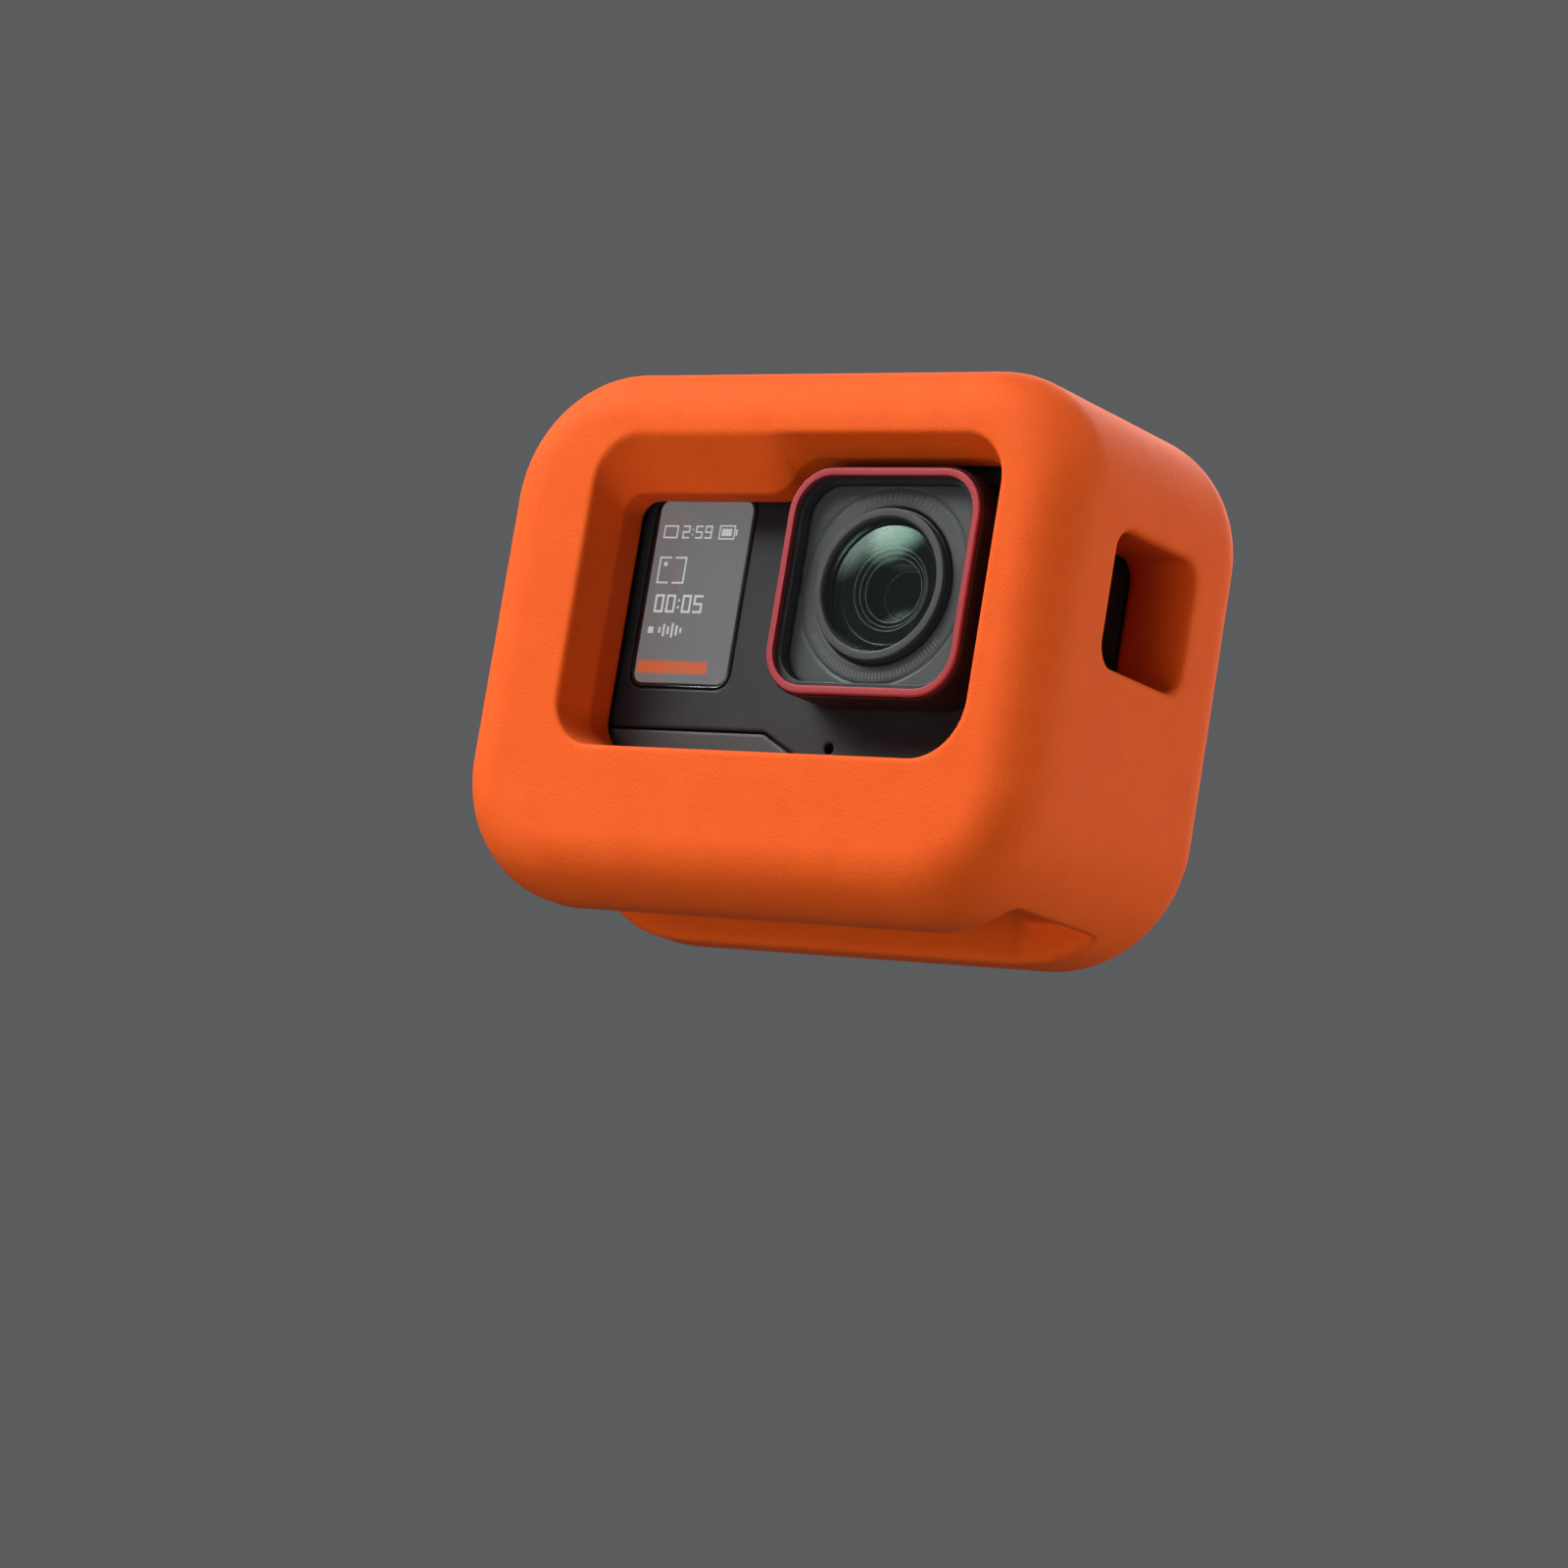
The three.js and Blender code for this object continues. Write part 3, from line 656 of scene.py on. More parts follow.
def screen_face_material():
    """The rear screen's picture: a soft grade from dark to grey, with no real scene in it."""
    made = plain("screen_picture", (0.02, 0.022, 0.026), 0.3, Emission_Strength=0.5)
    cloud = texture(made, "ShaderNodeTexNoise", 22, Detail=1.0)
    nodes, links = made.node_tree.nodes, made.node_tree.links
    ramp = nodes.new("ShaderNodeValToRGB")
    ramp.color_ramp.elements[0].color = (0.010, 0.022, 0.040, 1)
    ramp.color_ramp.elements[1].color = (0.075, 0.115, 0.150, 1)
    links.new(cloud.outputs["Fac"], ramp.inputs["Fac"])
    links.new(ramp.outputs["Color"], nodes["Principled BSDF"].inputs["Emission Color"])
    return made


def clear_glass(name, roughness):
    """Thin clear glass, with a trace of smears in its gloss."""
    made = plain(name, (1, 1, 1), roughness, Transmission_Weight=1.0, IOR=1.45)
    grain(made, 8.0, roughness=(roughness, roughness + 0.03), Detail=2.0)
    return made


def inner_glass(name="inner_glass"):
    made = plain(name, (0.80, 0.92, 0.88), 0.0, Transmission_Weight=1.0, IOR=1.25)
    grain(made, 6.0, roughness=(0.0, 0.02))
    return made


def coated_glass(name="coated_glass"):
    """The front lens: clear glass with a green anti-reflection coating."""
    coating = (0.55, 1.0, 0.78, 1)
    made = plain(name, (0.88, 0.98, 0.93), 0.0, Transmission_Weight=1.0, IOR=1.42, Specular_Tint=coating)
    grain(made, 5.0, roughness=(0.0, 0.03), Detail=2.0)
    return made


def faint_glass(name):
    """A flat window so clear that only a trace of it shows."""
    made = plain(name, (0.05, 0.055, 0.055), 0.06, Alpha=0.05)
    grain(made, 8.0, roughness=(0.04, 0.10), Detail=2.0)
    return made


# ---- The float case ----


def step_height(x):
    """The window's inner top edge against its highest: an S of two arcs down to the display side."""
    middle = (STEP_START + STEP_END) / 2
    near_end = np.clip(STEP_END - x, 0, STEP_END - middle)
    near_start = np.clip(x - STEP_START, 0, middle - STEP_START)
    upper = np.sqrt(STEP_RADIUS**2 - near_end**2) - STEP_RADIUS
    lower = STEP_RADIUS - np.sqrt(STEP_RADIUS**2 - near_start**2) - STEP_DROP
    return np.where(x > middle, upper, lower)


def window_field(x, y, z):
    """The front window: a ruled bevel from the outer to the inner outline, then straight."""
    t = np.clip((y - CASE_LOW[1]) / WINDOW_BEVEL, 0, 1)

    def between(key):
        return WINDOW_OUTER[key] + (WINDOW_INNER[key] - WINDOW_OUTER[key]) * t

    low_left, low_right, high_right, high_left = [
        a + (b - a) * t for a, b in zip(WINDOW_OUTER["radii"], WINDOW_INNER["radii"])
    ]
    left = between("left") - x
    right = x - between("right")
    low = between("low") - z
    high = z - between("high") - t * step_height(x)
    is_left = left > right
    is_low = low > high
    left_radius = np.where(is_low, low_left, high_left)
    right_radius = np.where(is_low, low_right, high_right)
    radius = np.where(is_left, left_radius, right_radius)
    return both(np.maximum(left, right), np.maximum(low, high), radius)


def case_field(x, y, z):
    """The moulded foam: a round block less its cavity, its window, its holes and its notches."""
    outline = rect(x, z, CASE_LOW[0], CASE_HIGH[0], CASE_LOW[2], CASE_HIGH[2], CASE_CORNER)
    solid = slab_field(outline, y, CASE_LOW[1], CASE_HIGH[1], CASE_EDGE)
    cavity = rect(
        x, z, BODY_LEFT - CAVITY_FIT, BODY_RIGHT + CAVITY_FIT,
        BODY_LOW - CAVITY_FIT, BODY_TOP + CAVITY_FIT, CAVITY_CORNER,
    )
    solid = without(solid, both(cavity, BODY_FRONT - FRONT_FIT - y, 0.5), 0.5)
    solid = without(solid, sloped(window_field, x, y, z), 0.35)
    power_hole = both(rect(y, z, **POWER_HOLE), CUT_SIDE - x, 0.1)
    shutter_hole = both(rect(x, y, **SHUTTER_HOLE), CUT_TOP - z, 0.1)
    door_notch = both(rect(y, z, **DOOR_NOTCH), x + CUT_SIDE, 0.1)
    screen_notch = both(rect(x, z, **SCREEN_NOTCH), SCREEN_NOTCH_FRONT - y, 2.0)
    slot = both(np.abs(x) - SLOT_HALF, z - SLOT_HEIGHT, 1.5)
    slot = slab_field(slot, y, SLOT_FRONT, SLOT_REAR, 0.8)
    way = both(rect(x, y, **MOUNT_WAY), z - CUT_LOW, 0.1)
    for hole in (power_hole, shutter_hole):
        solid = without(solid, hole, 1.3)
    for hole in (door_notch, screen_notch):
        solid = without(solid, hole, 1.0)
    solid = without(solid, slot, 1.4)
    return without(solid, way, 1.0)


def add_case():
    step = 0.45
    piece = field_mesh("foam_case", case_field, CASE_LOW, CASE_HIGH, step)
    settle_piece(piece, "case", "foam", foam_material(), "float_case")


# ---- The camera's shell ----


def body_outline(x, z, inset=0.0):
    """The camera body from the front, drawn in by an inset."""
    return rect(
        x, z, BODY_LEFT + inset, BODY_RIGHT - inset, BODY_LOW + inset, BODY_TOP - inset,
        max(BODY_CORNER - inset, 0.5),
    )


def wind_guard_outline(x, z, grow=0.0):
    """The low band: level on the display side, then a slant down under the lens."""
    left, right = WIND_LOW[0], WIND_HIGH[0]
    low, high = WIND_LOW[2], WIND_HIGH[2]
    slant = ((x + 3.5) * 7.0 + (z - high) * 13.3) / math.hypot(7.0, 13.3)
    top = np.minimum(np.maximum(z - high, slant), z - 18.0)
    return both(np.maximum(left - x, x - right), np.maximum(low - z, top), 0.6) - grow


def lens_square(x, z, half, radius):
    return rect(x, z, LENS_X - half, LENS_X + half, LENS_Z - half, LENS_Z + half, radius)


def mic_holes(x, z):
    front, left, low = [disc(x, z, *spot, MIC_RADIUS) for spot in MIC_HOLES]
    return np.minimum(np.minimum(front, left), low)


def display_outline(x, z, grow):
    return rect(
        x, z, DISPLAY_LOW[0] - grow, DISPLAY_HIGH[0] + grow,
        DISPLAY_LOW[2] - grow, DISPLAY_HIGH[2] + grow, DISPLAY_CORNER + grow,
    )


def front_field(x, y, z):
    """The front housing: a shell with the lens boss, the display's opening and the wind guard's pocket."""
    shell = both(body_outline(x, z), BODY_FRONT - y, 1.5)
    shell = both(shell, y - FRONT_HIGH[1], 0.15)
    shell = without(shell, both(body_outline(x, z, WALL), BODY_FRONT + WALL - y, 0.3), 0.2)
    boss = lens_square(x, z, BOSS_HALF, BOSS_CORNER)
    boss = slab_field(boss, y, FRONT_LOW[1], BODY_FRONT + 1, 0.3)
    shell = either(shell, boss, 0.3)
    shell = without(shell, disc(x, z, LENS_X, LENS_Z, LENS_BORE), 0.2)
    pocket = y - (BODY_FRONT + POCKET_DEPTH)
    shell = without(shell, both(display_outline(x, z, GAP), pocket, 0.1), 0.15)
    shell = without(shell, display_outline(x, z, -1.0), 0.1)
    shell = without(shell, both(wind_guard_outline(x, z, GAP), pocket, 0.1), 0.15)
    return without(shell, mic_holes(x, z), 0.1)


def wind_guard_field(x, y, z):
    slab = slab_field(wind_guard_outline(x, z), y, WIND_LOW[1], WIND_HIGH[1], 0.25)
    return without(slab, mic_holes(x, z), 0.15)


def frame_field(x, y, z):
    """The middle frame, open inside, with places for the door, the buttons and the mount plate."""
    ring = slab_field(body_outline(x, z), y, FRAME_LOW[1], FRAME_HIGH[1], 0.15)
    inner = BODY_RIGHT - WALL
    wide = both(np.abs(x) - inner, np.maximum(19.5 - z, z - 53.5), 0.3)
    tall = both(np.abs(x) - 27.5, np.maximum(BODY_LOW + 4 - z, z - (BODY_TOP - WALL)), 0.3)
    ring = without(ring, np.minimum(wide, tall), 0.2)
    door = rect(y, z, DOOR_LOW[1] - GAP, DOOR_HIGH[1] + GAP, DOOR_LOW[2] - GAP, DOOR_HIGH[2] + GAP, 0.4)
    ring = without(ring, both(door, x + 32.4, 0.1), 0.25)
    ring = without(ring, both(disc(x, y, SHUTTER[0], SHUTTER[1], SHUTTER_WELL), 50 - z, 0.1), 0.3)
    power = rect(y, z, POWER[1] - 2.6, POWER[1] + 2.6, POWER[2] - 5.8, POWER[2] + 5.8, 2.5)
    ring = without(ring, both(power, 20 - x, 0.1), 0.3)
    plate = rect(
        x, y, MOUNT_LOW[0] - GAP, MOUNT_HIGH[0] + GAP, MOUNT_LOW[1] - GAP, MOUNT_HIGH[1] + GAP, 2.0,
    )
    claws = rect(np.abs(x), y, 15.8, 18.2, POWER[1] - 4.5, POWER[1] + 4.5, 1.0)
    return without(ring, both(np.minimum(plate, claws), z - 11.5, 0.1), 0.2)


def rear_field(x, y, z):
    """The rear housing, with the bay that the screen folds into."""
    block = both(body_outline(x, z), y - REAR_HIGH[1], 1.5)
    block = both(block, REAR_LOW[1] - y, 0.15)
    bay = both(np.abs(x) - (SCREEN_HIGH[0] + GAP), SCREEN_LOW[2] - GAP - z, 0.6)
    block = without(block, both(bay, SCREEN_LOW[1] - GAP - y, 0.3), 0.3)
    thumb = rect(x, z, -8.0, 8.0, 9.0, 12.5, 1.0)
    block = without(block, both(thumb, 15 - y, 0.5), 0.4)
    for sx, sz in SCREW_PLACES:
        hole = both(disc(x, z, sx, sz, SCREW_HEAD + GAP), SCREW_SEAT - y, 0.1)
        block = without(block, hole, 0.15)
    return block


def add_camera_shell(shell):
    fine = 0.32
    front = field_mesh("front_shell", front_field, FRONT_LOW, FRONT_HIGH, fine)
    settle_piece(front, "camera", "shell", shell, "front_housing")
    guard = field_mesh("wind_guard_cover", wind_guard_field, WIND_LOW, WIND_HIGH, 0.25)
    settle_piece(guard, "camera", "wind_guard", wind_guard_material(), "wind_guard")
    middle = field_mesh("frame_shell", frame_field, FRAME_LOW, FRAME_HIGH, fine * 1.3)
    settle_piece(middle, "camera", "shell", shell, "main_frame")
    rear = field_mesh("rear_shell", rear_field, REAR_LOW, REAR_HIGH, fine * 1.3)
    settle_piece(rear, "camera", "shell", shell, "rear_housing")


# ---- Front display ----

SEGMENTS = {"0": "abcdef", "2": "abdeg", "5": "acdfg", "9": "abcdfg"}


def digit_bars(char, u, v, width, height, thick):
    """Bars for one seven-segment digit whose low left corner is at (u, v)."""
    middle, half_w, half_h = u + width / 2, width / 2, height / 4
    spots = {
        "a": ((middle, v + height), 0), "g": ((middle, v + height / 2), 0), "d": ((middle, v), 0),
        "f": ((u, v + 3 * half_h), 1), "b": ((u + width, v + 3 * half_h), 1),
        "e": ((u, v + half_h), 1), "c": ((u + width, v + half_h), 1),
    }
    bars = []
    for name in SEGMENTS[char]:
        centre, upright = spots[name]
        half = (half_h + thick / 2 if upright else half_w + thick / 2, thick / 2)
        bars.append((centre, half, math.pi / 2 if upright else 0.0))
    return bars


def time_bars(text, u, v, width, height, thick, gap):
    """Digits and colons in a row, from the low left corner (u, v)."""
    bars = []
    for char in text:
        if char == ":":
            bars += [((u, v + height * k), (thick / 2, thick / 2), 0.0) for k in (0.28, 0.72)]
            u += gap
            continue
        bars += digit_bars(char, u, v, width, height, thick)
        u += width + gap
    return bars


def box_bars(u, v, width, height, thick):
    """An empty box drawn with four bars."""
    return [
        ((u + width / 2, v), (width / 2 + thick / 2, thick / 2), 0.0),
        ((u + width / 2, v + height), (width / 2 + thick / 2, thick / 2), 0.0),
        ((u, v + height / 2), (height / 2, thick / 2), math.pi / 2),
        ((u + width, v + height / 2), (height / 2, thick / 2), math.pi / 2),
    ]


def bracket_bars(u, v, width, height, arm, thick):
    """Four corner brackets round an empty frame."""
    bars = []
    for su in (0, 1):
        for sv in (0, 1):
            cu, cv = u + su * width, v + sv * height
            bars.append(((cu + (0.5 - su) * arm, cv), (arm / 2 + thick / 2, thick / 2), 0.0))
            bars.append(((cu, cv + (0.5 - sv) * arm), (arm / 2, thick / 2), math.pi / 2))
    return bars


def display_bars(left, low):
    """The little icons and digits, from the lit area's low left corner."""
    bars = time_bars("00:05", left + 1.7, low + 9.9, 1.2, 2.2, 0.32, 0.75)
    bars += box_bars(left + 1.2, low + 20.2, 2.2, 1.6, 0.22)
    bars += time_bars("2:59", left + 4.4, low + 20.2, 1.0, 1.6, 0.22, 0.6)
    bars += box_bars(left + 10.6, low + 20.1, 2.5, 1.8, 0.2)
    bars.append(((left + 11.8, low + 21.0), (0.85, 0.5), 0.0))
    bars.append(((left + 13.45, low + 21.0), (0.14, 0.42), 0.0))
    bars += bracket_bars(left + 1.3, low + 13.9, 4.4, 3.5, 1.75, 0.24)
    bars.append(((left + 2.3, low + 16.5), (0.28, 0.28), 0.0))
    bars.append(((left + 1.6, low + 7.3), (0.45, 0.45), 0.0))
    for i, height in enumerate((0.8, 1.7, 1.1, 2.0, 1.4, 0.7)):
        bars.append(((left + 3.1 + 0.72 * i, low + 7.3), (0.17, height / 2), 0.0))
    return bars


def add_display():
    """A thin lit sheet under clear glass, in a black mask that shows as the border."""
    centre = (DISPLAY_LOW + DISPLAY_HIGH) / 2
    half = (DISPLAY_HIGH - DISPLAY_LOW) / 2
    middle, front = (centre[0], centre[2]), DISPLAY_LOW[1]
    lit_half = (half[0] - DISPLAY_BORDER, half[2] - DISPLAY_BORDER)
    flat = (half[0], half[2])
    corner, icon_front, icon_back = DISPLAY_CORNER, front + 0.265, front + 0.28
    mask = slab_piece("display_mask", "xz", middle, flat, corner, front + 0.3, DISPLAY_HIGH[1], 0.1)
    settle_piece(mask, "camera", "black", black_material("display_mask"))
    glass = slab_piece("display_glass", "xz", middle, flat, corner, front, front + 0.25, 0.1)
    settle_piece(glass, "camera", "glass", clear_glass("display_glass", 0.02), "front_display_glass")
    panel = slab_piece("display_panel", "xz", middle, lit_half, 1.5, front + 0.29, front + 0.6, 0.05)
    backlight = lit("display_lit", (0.150, 0.150, 0.155), 0.9)
    settle_piece(panel, "camera", "display", backlight, "front_display_panel")
    left, low = middle[0] - lit_half[0], middle[1] - lit_half[1]
    icons = bars_piece("display_icons", "xz", display_bars(left, low), icon_front, icon_back)
    settle_piece(icons, "camera", "display", lit("display_icon", (0.62, 0.62, 0.63), 0.75))
    bar = [((left + 6.3, low + 2.2), (5.9, 0.85), 0.0)]
    level = bars_piece("display_level", "xz", bar, icon_front, icon_back)
    settle_piece(level, "camera", "display", lit("display_level", (0.62, 0.13, 0.045), 0.75))


# ---- Lens and lens guard ----


def plate_field(x, y, z):
    """The plate round the lens, with its bore and one fine ring groove."""
    square = lens_square(x, z, PLATE_HALF, PLATE_CORNER)
    slab = slab_field(square, y, PLATE_LOW[1], PLATE_HIGH[1], 0.12)
    slab = without(slab, disc(x, z, LENS_X, LENS_Z, PLATE_BORE), 0.15)
    groove = np.abs(disc(x, z, LENS_X, LENS_Z, GROOVE_RADIUS)) - 0.16
    groove = both(groove, y - (PLATE_LOW[1] + 0.2), 0.05)
    return without(slab, groove, 0.05)


def dome_profile(radius, front, rear, front_bulge, rear_bulge, steps=14):
    """Profile of a lens with a bulge of its own on each face."""
    share = np.linspace(0, 1, steps)
    face = [(radius * s, front - front_bulge * (1 - s * s)) for s in share]
    back = [(radius * s, rear + rear_bulge * (1 - s * s)) for s in share[::-1]]
    return face + back


def add_lens_plate():
    step = 0.2
    plate = field_mesh("lens_plate_cover", plate_field, PLATE_LOW, PLATE_HIGH, step)
    settle_piece(plate, "camera", "lens_plate", plate_material(), "lens_plate")
    marks = []
    for start, stop, turn in MARK_ARCS:
        for angle in np.radians(np.arange(start, stop, turn)):
            spot = (LENS_X + MARK_RADIUS * math.cos(angle), LENS_Z + MARK_RADIUS * math.sin(angle))
            marks.append((spot, (0.42, 0.09), float(angle)))
    ticks = bars_piece("lens_marks", "xz", marks, PLATE_LOW[1] - 0.03, PLATE_LOW[1] + 0.1)
    settle_piece(ticks, "camera", "lens_plate", mark_material())


def add_lens_barrel(centre):
    """The barrel, the stepped baffle inside it and the bezel on its front."""
    barrel = turned_piece("lens_tube", [
        (10.4, -16.8), (10.4, 4.8), (7.0, 4.8), (7.0, -14.3), (8.95, -14.3), (8.95, -16.8),
    ], centre)
    settle_piece(barrel, "camera", "black", black_material(), "lens_barrel")
    baffle = turned_piece("lens_baffle", [
        (8.6, -14.45), (5.4, -14.1), (5.2, -14.0), (5.2, -13.7), (4.6, -13.7), (4.6, -13.45),
        (3.95, -13.45), (3.95, -13.35), (8.6, -13.5),
    ], centre, edge=0.08)
    settle_piece(baffle, "camera", "black", baffle_material())
    ring = turned_piece("lens_bezel", [
        (8.95, -17.75), (9.15, -18.0), (10.1, -18.0), (10.2, -17.85), (10.2, -17.1), (8.95, -17.1),
    ], centre, edge=0.06)
    settle_piece(ring, "camera", "lens_ring", ring_material(), "lens_ring")


def add_trim_rings(centre):
    """The thin edges that show through the front lens, in a lighter grey than the bezel: a painted
    highlight on their rims.
    """
    # The lighter grey is a painted highlight where the rims catch light, not the rings' own colour.
    rim_highlight_paint = ring_material("lens_trim_painted_highlight", (0.16, 0.17, 0.17))
    for i, (radius, y) in enumerate(TRIM_RINGS, 1):
        hoop = turned_piece(f"lens_trim_painted_highlight_{i}", [
            (radius, y), (radius + 0.16, y), (radius + 0.16, y + 0.12), (radius, y + 0.12),
        ], centre, edge=0.04)
        settle_piece(hoop, "camera", "lens_ring", rim_highlight_paint)


def add_lens():
    centre = (LENS_X, LENS_Z)
    add_lens_plate()
    add_lens_barrel(centre)
    dome = dome_profile(8.7, -16.9, -14.6, 1.6, -0.8)
    front = turned_piece("front_element", dome, centre, hollow=False, edge=0.02)
    settle_piece(front, "camera", "coated_glass", coated_glass(), "front_lens")
    dome = dome_profile(6.7, -12.1, -11.1, 1.2, 1.0)
    second = turned_piece("second_element", dome, centre, hollow=False, edge=0.02)
    settle_piece(second, "camera", "glass", inner_glass(), "second_lens")
    add_trim_rings(centre)


def add_lens_guard():
    centre, half = (LENS_X, LENS_Z), (GUARD_HALF, GUARD_HALF)
    frame_piece = hoop_piece("guard_frame", "xz", centre, half, GUARD_CORNER, [
        (0, -11.8), (0, -18.8), (0.15, -19.1), (0.3, -18.6), (2.1, -18.6),
        (2.1, -17.2), (1.5, -17.2), (1.5, -11.8),
    ], 0.12)
    settle_piece(frame_piece, "lens_guard", "black", guard_material(), "lens_guard_frame")
    accent = hoop_piece("guard_ring", "xz", centre, half, GUARD_CORNER, [
        (0.3, -18.7), (0.3, -19.35), (0.45, -19.5), (1.35, -19.5), (1.4, -18.7),
    ], 0.08)
    settle_piece(accent, "lens_guard", "accent", accent_material(), "lens_guard_ring")
    reach = GUARD_HALF - 1.4
    pane = slab_piece("guard_pane", "xz", centre, (reach, reach), GUARD_CORNER - 1.4, -19.3, -18.7, 0.05)
    settle_piece(pane, "lens_guard", "glass", faint_glass("guard_pane"), "lens_guard_glass")


# ---- Rear screen ----


def screen_field(x, y, z):
    """The screen's housing: a tray with a hinge barrel along its top."""
    low, high = SCREEN_LOW, SCREEN_HIGH
    hinge_y, hinge_z = (low[1] + high[1]) / 2, high[2] - SCREEN_HINGE
    plate = rect(x, z, low[0], high[0], low[2], high[2], 1.5)
    plate = both(plate, z - hinge_z, 0.01)
    plate = slab_field(plate, y, low[1], high[1], 0.5)
    barrel = both(disc(y, z, hinge_y, hinge_z, SCREEN_HINGE), np.abs(x) - high[0], 0.4)
    body = np.minimum(plate, barrel)
    recess = rect(x, z, -31.3, 31.3, low[2] + 2.7, low[2] + 40.3, 2.3)
    body = without(body, both(recess, hinge_y + 0.3 - y, 0.1), 0.25)
    bore = both(disc(y, z, hinge_y, hinge_z, 1.2), 29 - np.abs(x), 0.1)
    return without(body, bore, 0.15)


def add_screen(shell):
    housing = field_mesh("screen_shell", screen_field, SCREEN_LOW, SCREEN_HIGH, 0.4)
    settle_piece(housing, "screen", "shell", shell, "screen_housing")
    glass = node_slab("screen_pane", "screen_glass", "xz", 2.0, 0.2)
    settle_piece(glass, "screen", "glass", clear_glass("screen_pane", 0.02), "screen_glass")
    panel = node_slab("screen_face", "screen_panel", "xz", 1.0, 0.1)
    settle_piece(panel, "screen", "display", screen_face_material(), "screen_panel")
    low, high = box_mm("screen_panel")
    right, base, face = high[0] - 3, low[2], high[1]
    bars = time_bars("00:05", -right, base + 30, 1.5, 2.8, 0.32, 1.0)
    bars += box_bars(right - 5, base + 30, 3.4, 2.0, 0.25)
    bars += bracket_bars(-6, base + 12, 12, 9, 2.4, 0.3)
    bars.append(((0, base + 3.2), (1.3, 1.3), math.pi / 4))
    seen_from_behind = [((-u, v), size, -angle) for (u, v), size, angle in bars]
    icons = bars_piece("screen_icons", "xz", seen_from_behind, face + 0.03, face + 0.08)
    settle_piece(icons, "screen", "display", lit("screen_icon", (0.75, 0.75, 0.76), 0.9))


# ---- Battery door, buttons, mount and screws ----


def door_field(x, y, z):
    """The battery door: a ribbed face with a hinge barrel below, a boss behind and a latch pocket."""
    low, high = DOOR_LOW, DOOR_HIGH
    hinge_x, hinge_z = low[0] + DOOR_HINGE, low[2] + DOOR_HINGE
    face = rect(y, z, low[1], high[1], hinge_z - 4, high[2], 0.8)
    face = both(face, np.maximum(low[0] - x, x - (low[0] + 1.8)), 0.3)
    face = both(face, hinge_z - z, 0.05)
    barrel = slab_field(disc(x, z, hinge_x, hinge_z, DOOR_HINGE), y, low[1], high[1], 0.2)
    boss = rect(y, z, low[1] + 1.8, high[1] - 1.8, hinge_z + 3, high[2] - 1.8, 1.5)
    boss = both(boss, np.maximum(low[0] + 1 - x, x - high[0]), 0.3)
    body = np.minimum(np.minimum(face, barrel), boss)
    middle = (low[1] + high[1]) / 2
    pocket = rect(y, z, middle - 3.3, middle + 3.3, LATCH_LOW[2] - 2.3, LATCH_HIGH[2] + GAP, 1.0)
    body = without(body, both(pocket, x - (low[0] + 1.05), 0.1), 0.2)
    for i in range(5):
        rib = both(np.abs(z - (hinge_z + 5 + 2.2 * i)) - 0.35, x - (low[0] + 0.35), 0.1)
        body = without(body, both(rib, np.abs(y - middle) - 5, 0.3), 0.15)
    return without(body, disc(x, z, hinge_x, hinge_z, 1.0), 0.15)


def latch_field(x, y, z):
    """The latch's thumb piece, with three grip grooves."""
    low, high = LATCH_LOW, LATCH_HIGH
    slab = slab_field(rect(y, z, low[1], high[1], low[2], high[2], 1.0), x, low[0], high[0], 0.2)
    across = np.abs(y - (low[1] + high[1]) / 2) - 2.2
    for i in range(3):
        groove = both(np.abs(z - (low[2] + 1.25 + i)) - 0.22, x - (low[0] + 0.3), 0.05)
        slab = without(slab, both(groove, across, 0.2), 0.08)
    return slab


def add_door(shell):
    door = field_mesh("door_shell", door_field, DOOR_LOW, DOOR_HIGH, 0.25)
    settle_piece(door, "door", "shell", shell, "battery_door")
    low, high = box_mm("door_seal")
    centre, half = (low + high) / 2, (high - low) / 2
    seal = hoop_piece("door_gasket", "yz", (centre[1], centre[2]), (half[1], half[2]), 2.2, [
        (0, low[0]), (1.1, low[0]), (1.1, high[0]), (0, high[0]),
    ], 0.35)
    settle_piece(seal, "door", "rubber", rubber_material(), "door_seal")
    latch = field_mesh("latch_thumb", latch_field, LATCH_LOW, LATCH_HIGH, 0.12)
    settle_piece(latch, "latch", "accent", accent_material("latch_accent"), "door_latch")


def key_field(x, y, z):
    """The power key: an upright oval with a dished face, on a flange that holds it in."""
    key = rect(y, z, POWER[1] - 2.3, POWER[1] + 2.3, POWER[2] - 5.5, POWER[2] + 5.5, 2.2)
    key = slab_field(key, x, KEY_SHOULDER, KEY_HIGH[0], 0.4)
    flange = rect(y, z, KEY_LOW[1], KEY_HIGH[1], KEY_LOW[2], KEY_HIGH[2], 2.8)
    flange = slab_field(flange, x, KEY_LOW[0], KEY_SHOULDER + 0.3, 0.15)
    dish = disc(x, y, KEY_HIGH[0] + 9.6, POWER[1], 10.0)
    return np.minimum(without(key, dish, 0.2), flange)


def add_buttons(shell):
    top = BODY_TOP
    cap = turned_piece("shutter_cap", [
        (0, top - 0.35), (3.6, top - 0.2), (4.1, top + 0.2), (4.8, top - 0.2),
        (4.8, top - 2.7), (5.6, top - 2.7), (5.6, top - 3.6), (0, top - 3.6),
    ], SHUTTER[:2], "xy", 0.3, hollow=False)
    settle_piece(cap, "shutter", "shell", shell, "shutter_button")
    key = field_mesh("power_key", key_field, KEY_LOW, KEY_HIGH, 0.2)
    settle_piece(key, "power", "shell", shell, "power_button")


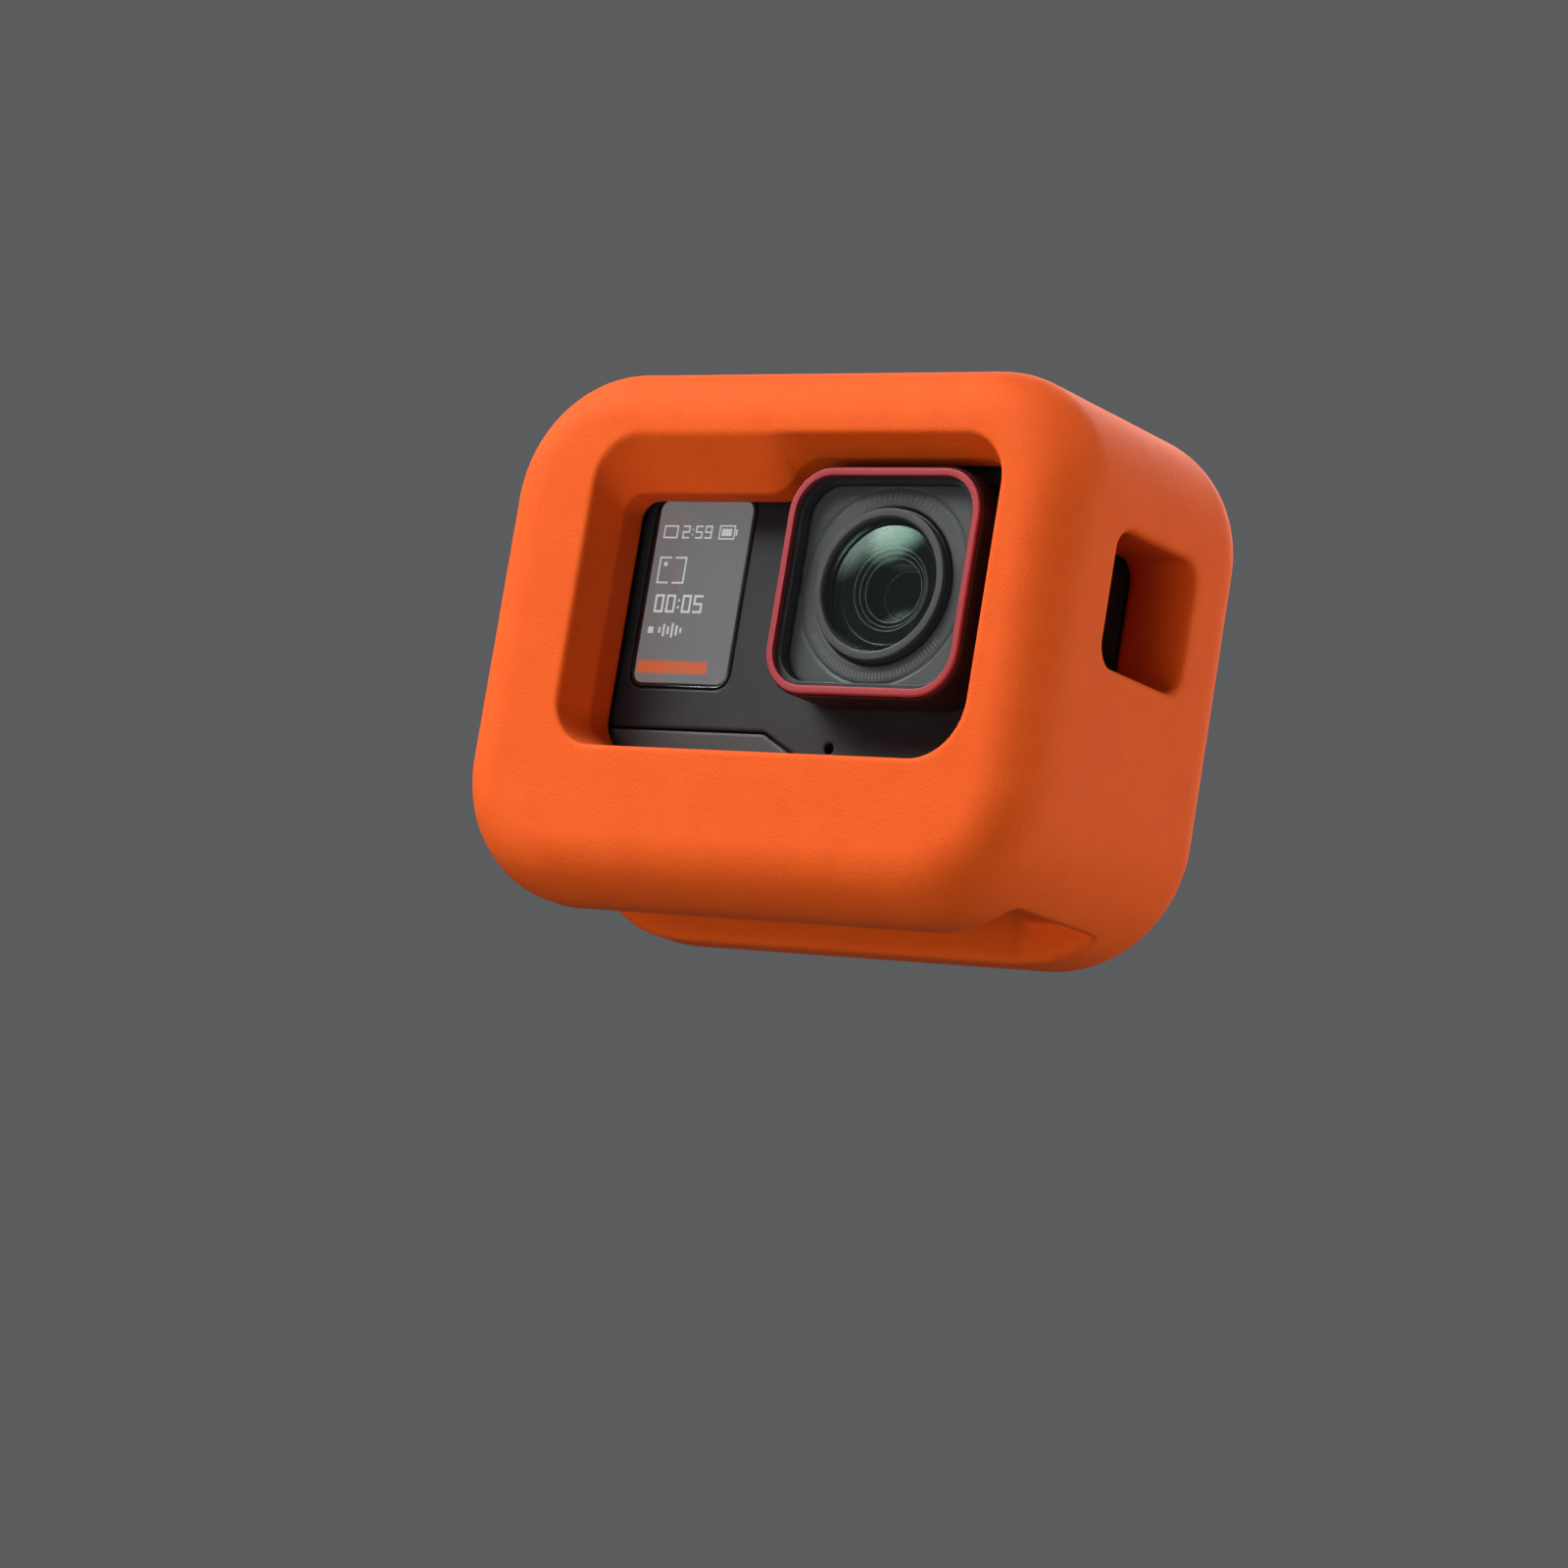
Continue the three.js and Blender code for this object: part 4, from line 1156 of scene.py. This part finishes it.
def add_mount():
    plate = node_slab("mount_steel", "mount_plate", "xy", 1.7, 0.15)
    settle_piece(plate, "camera", "steel", brushed_steel("mount_steel"), "mount_plate")


def screw_field(x, y, z):
    """A screw about the Y axis, with a cross cut in its head."""
    radius = np.hypot(x, z)
    head = slab_field(radius - SCREW_HEAD, y, SCREW_TOP - 0.8, SCREW_TOP, 0.2)
    shank = slab_field(radius - 0.8, y, SCREW_END, SCREW_TOP - 0.6, 0.15)
    upright = np.maximum(np.abs(x) - 0.22, np.abs(z) - 1.0)
    level = np.maximum(np.abs(z) - 0.22, np.abs(x) - 1.0)
    cross = both(np.minimum(upright, level), SCREW_TOP - 0.5 - y, 0.05)
    return without(np.minimum(head, shank), cross, 0.05)


def add_screws():
    steel = brushed_steel("screw_steel")
    low, high = (-SCREW_HEAD, SCREW_END, -SCREW_HEAD), (SCREW_HEAD, SCREW_TOP, SCREW_HEAD)
    for i, (x, z) in enumerate(SCREW_PLACES, 1):
        piece = field_mesh(f"screw_head_{i}", screw_field, low, high, 0.12)
        piece.data.transform(Matrix.Translation((x * MM, 0, z * MM)))
        settle_piece(piece, "camera", "steel", steel, f"screw_{i}")


def finish_nodes():
    """Gives every CAD node a material, by its slot in the record."""
    makers = {
        "steel": brushed_steel("steel_parts"), "magnet": brushed_steel("magnet_nickel"),
        "board": board_material(), "aluminium": brushed_steel("aluminium_parts", (0.55, 0.55, 0.56)),
        "battery": battery_material(), "glass": inner_glass("deep_glass"),
        "coated_glass": coated_glass("filter"), "black": black_material("card_plastic"),
        "rubber": rubber_material("rubber_parts"),
    }
    spare = shell_material("spare_shell")
    slots = {row["node"]: row["material_slot"] for row in frame["record"]["subparts"]}
    for name, node in frame["nodes"].items():
        node.data.materials.clear()
        node.data.materials.append(makers.get(slots[name], spare))


bpy.context.scene.view_settings.view_transform = "Standard"
add_camera()
add_world()
add_floor()
add_lights()
finish_nodes()
add_case()
shell = shell_material()
add_camera_shell(shell)
add_display()
add_lens()
add_lens_guard()
add_screen(shell)
add_door(shell)
add_buttons(shell)
add_mount()
add_screws()

bpy.context.view_layer.update()
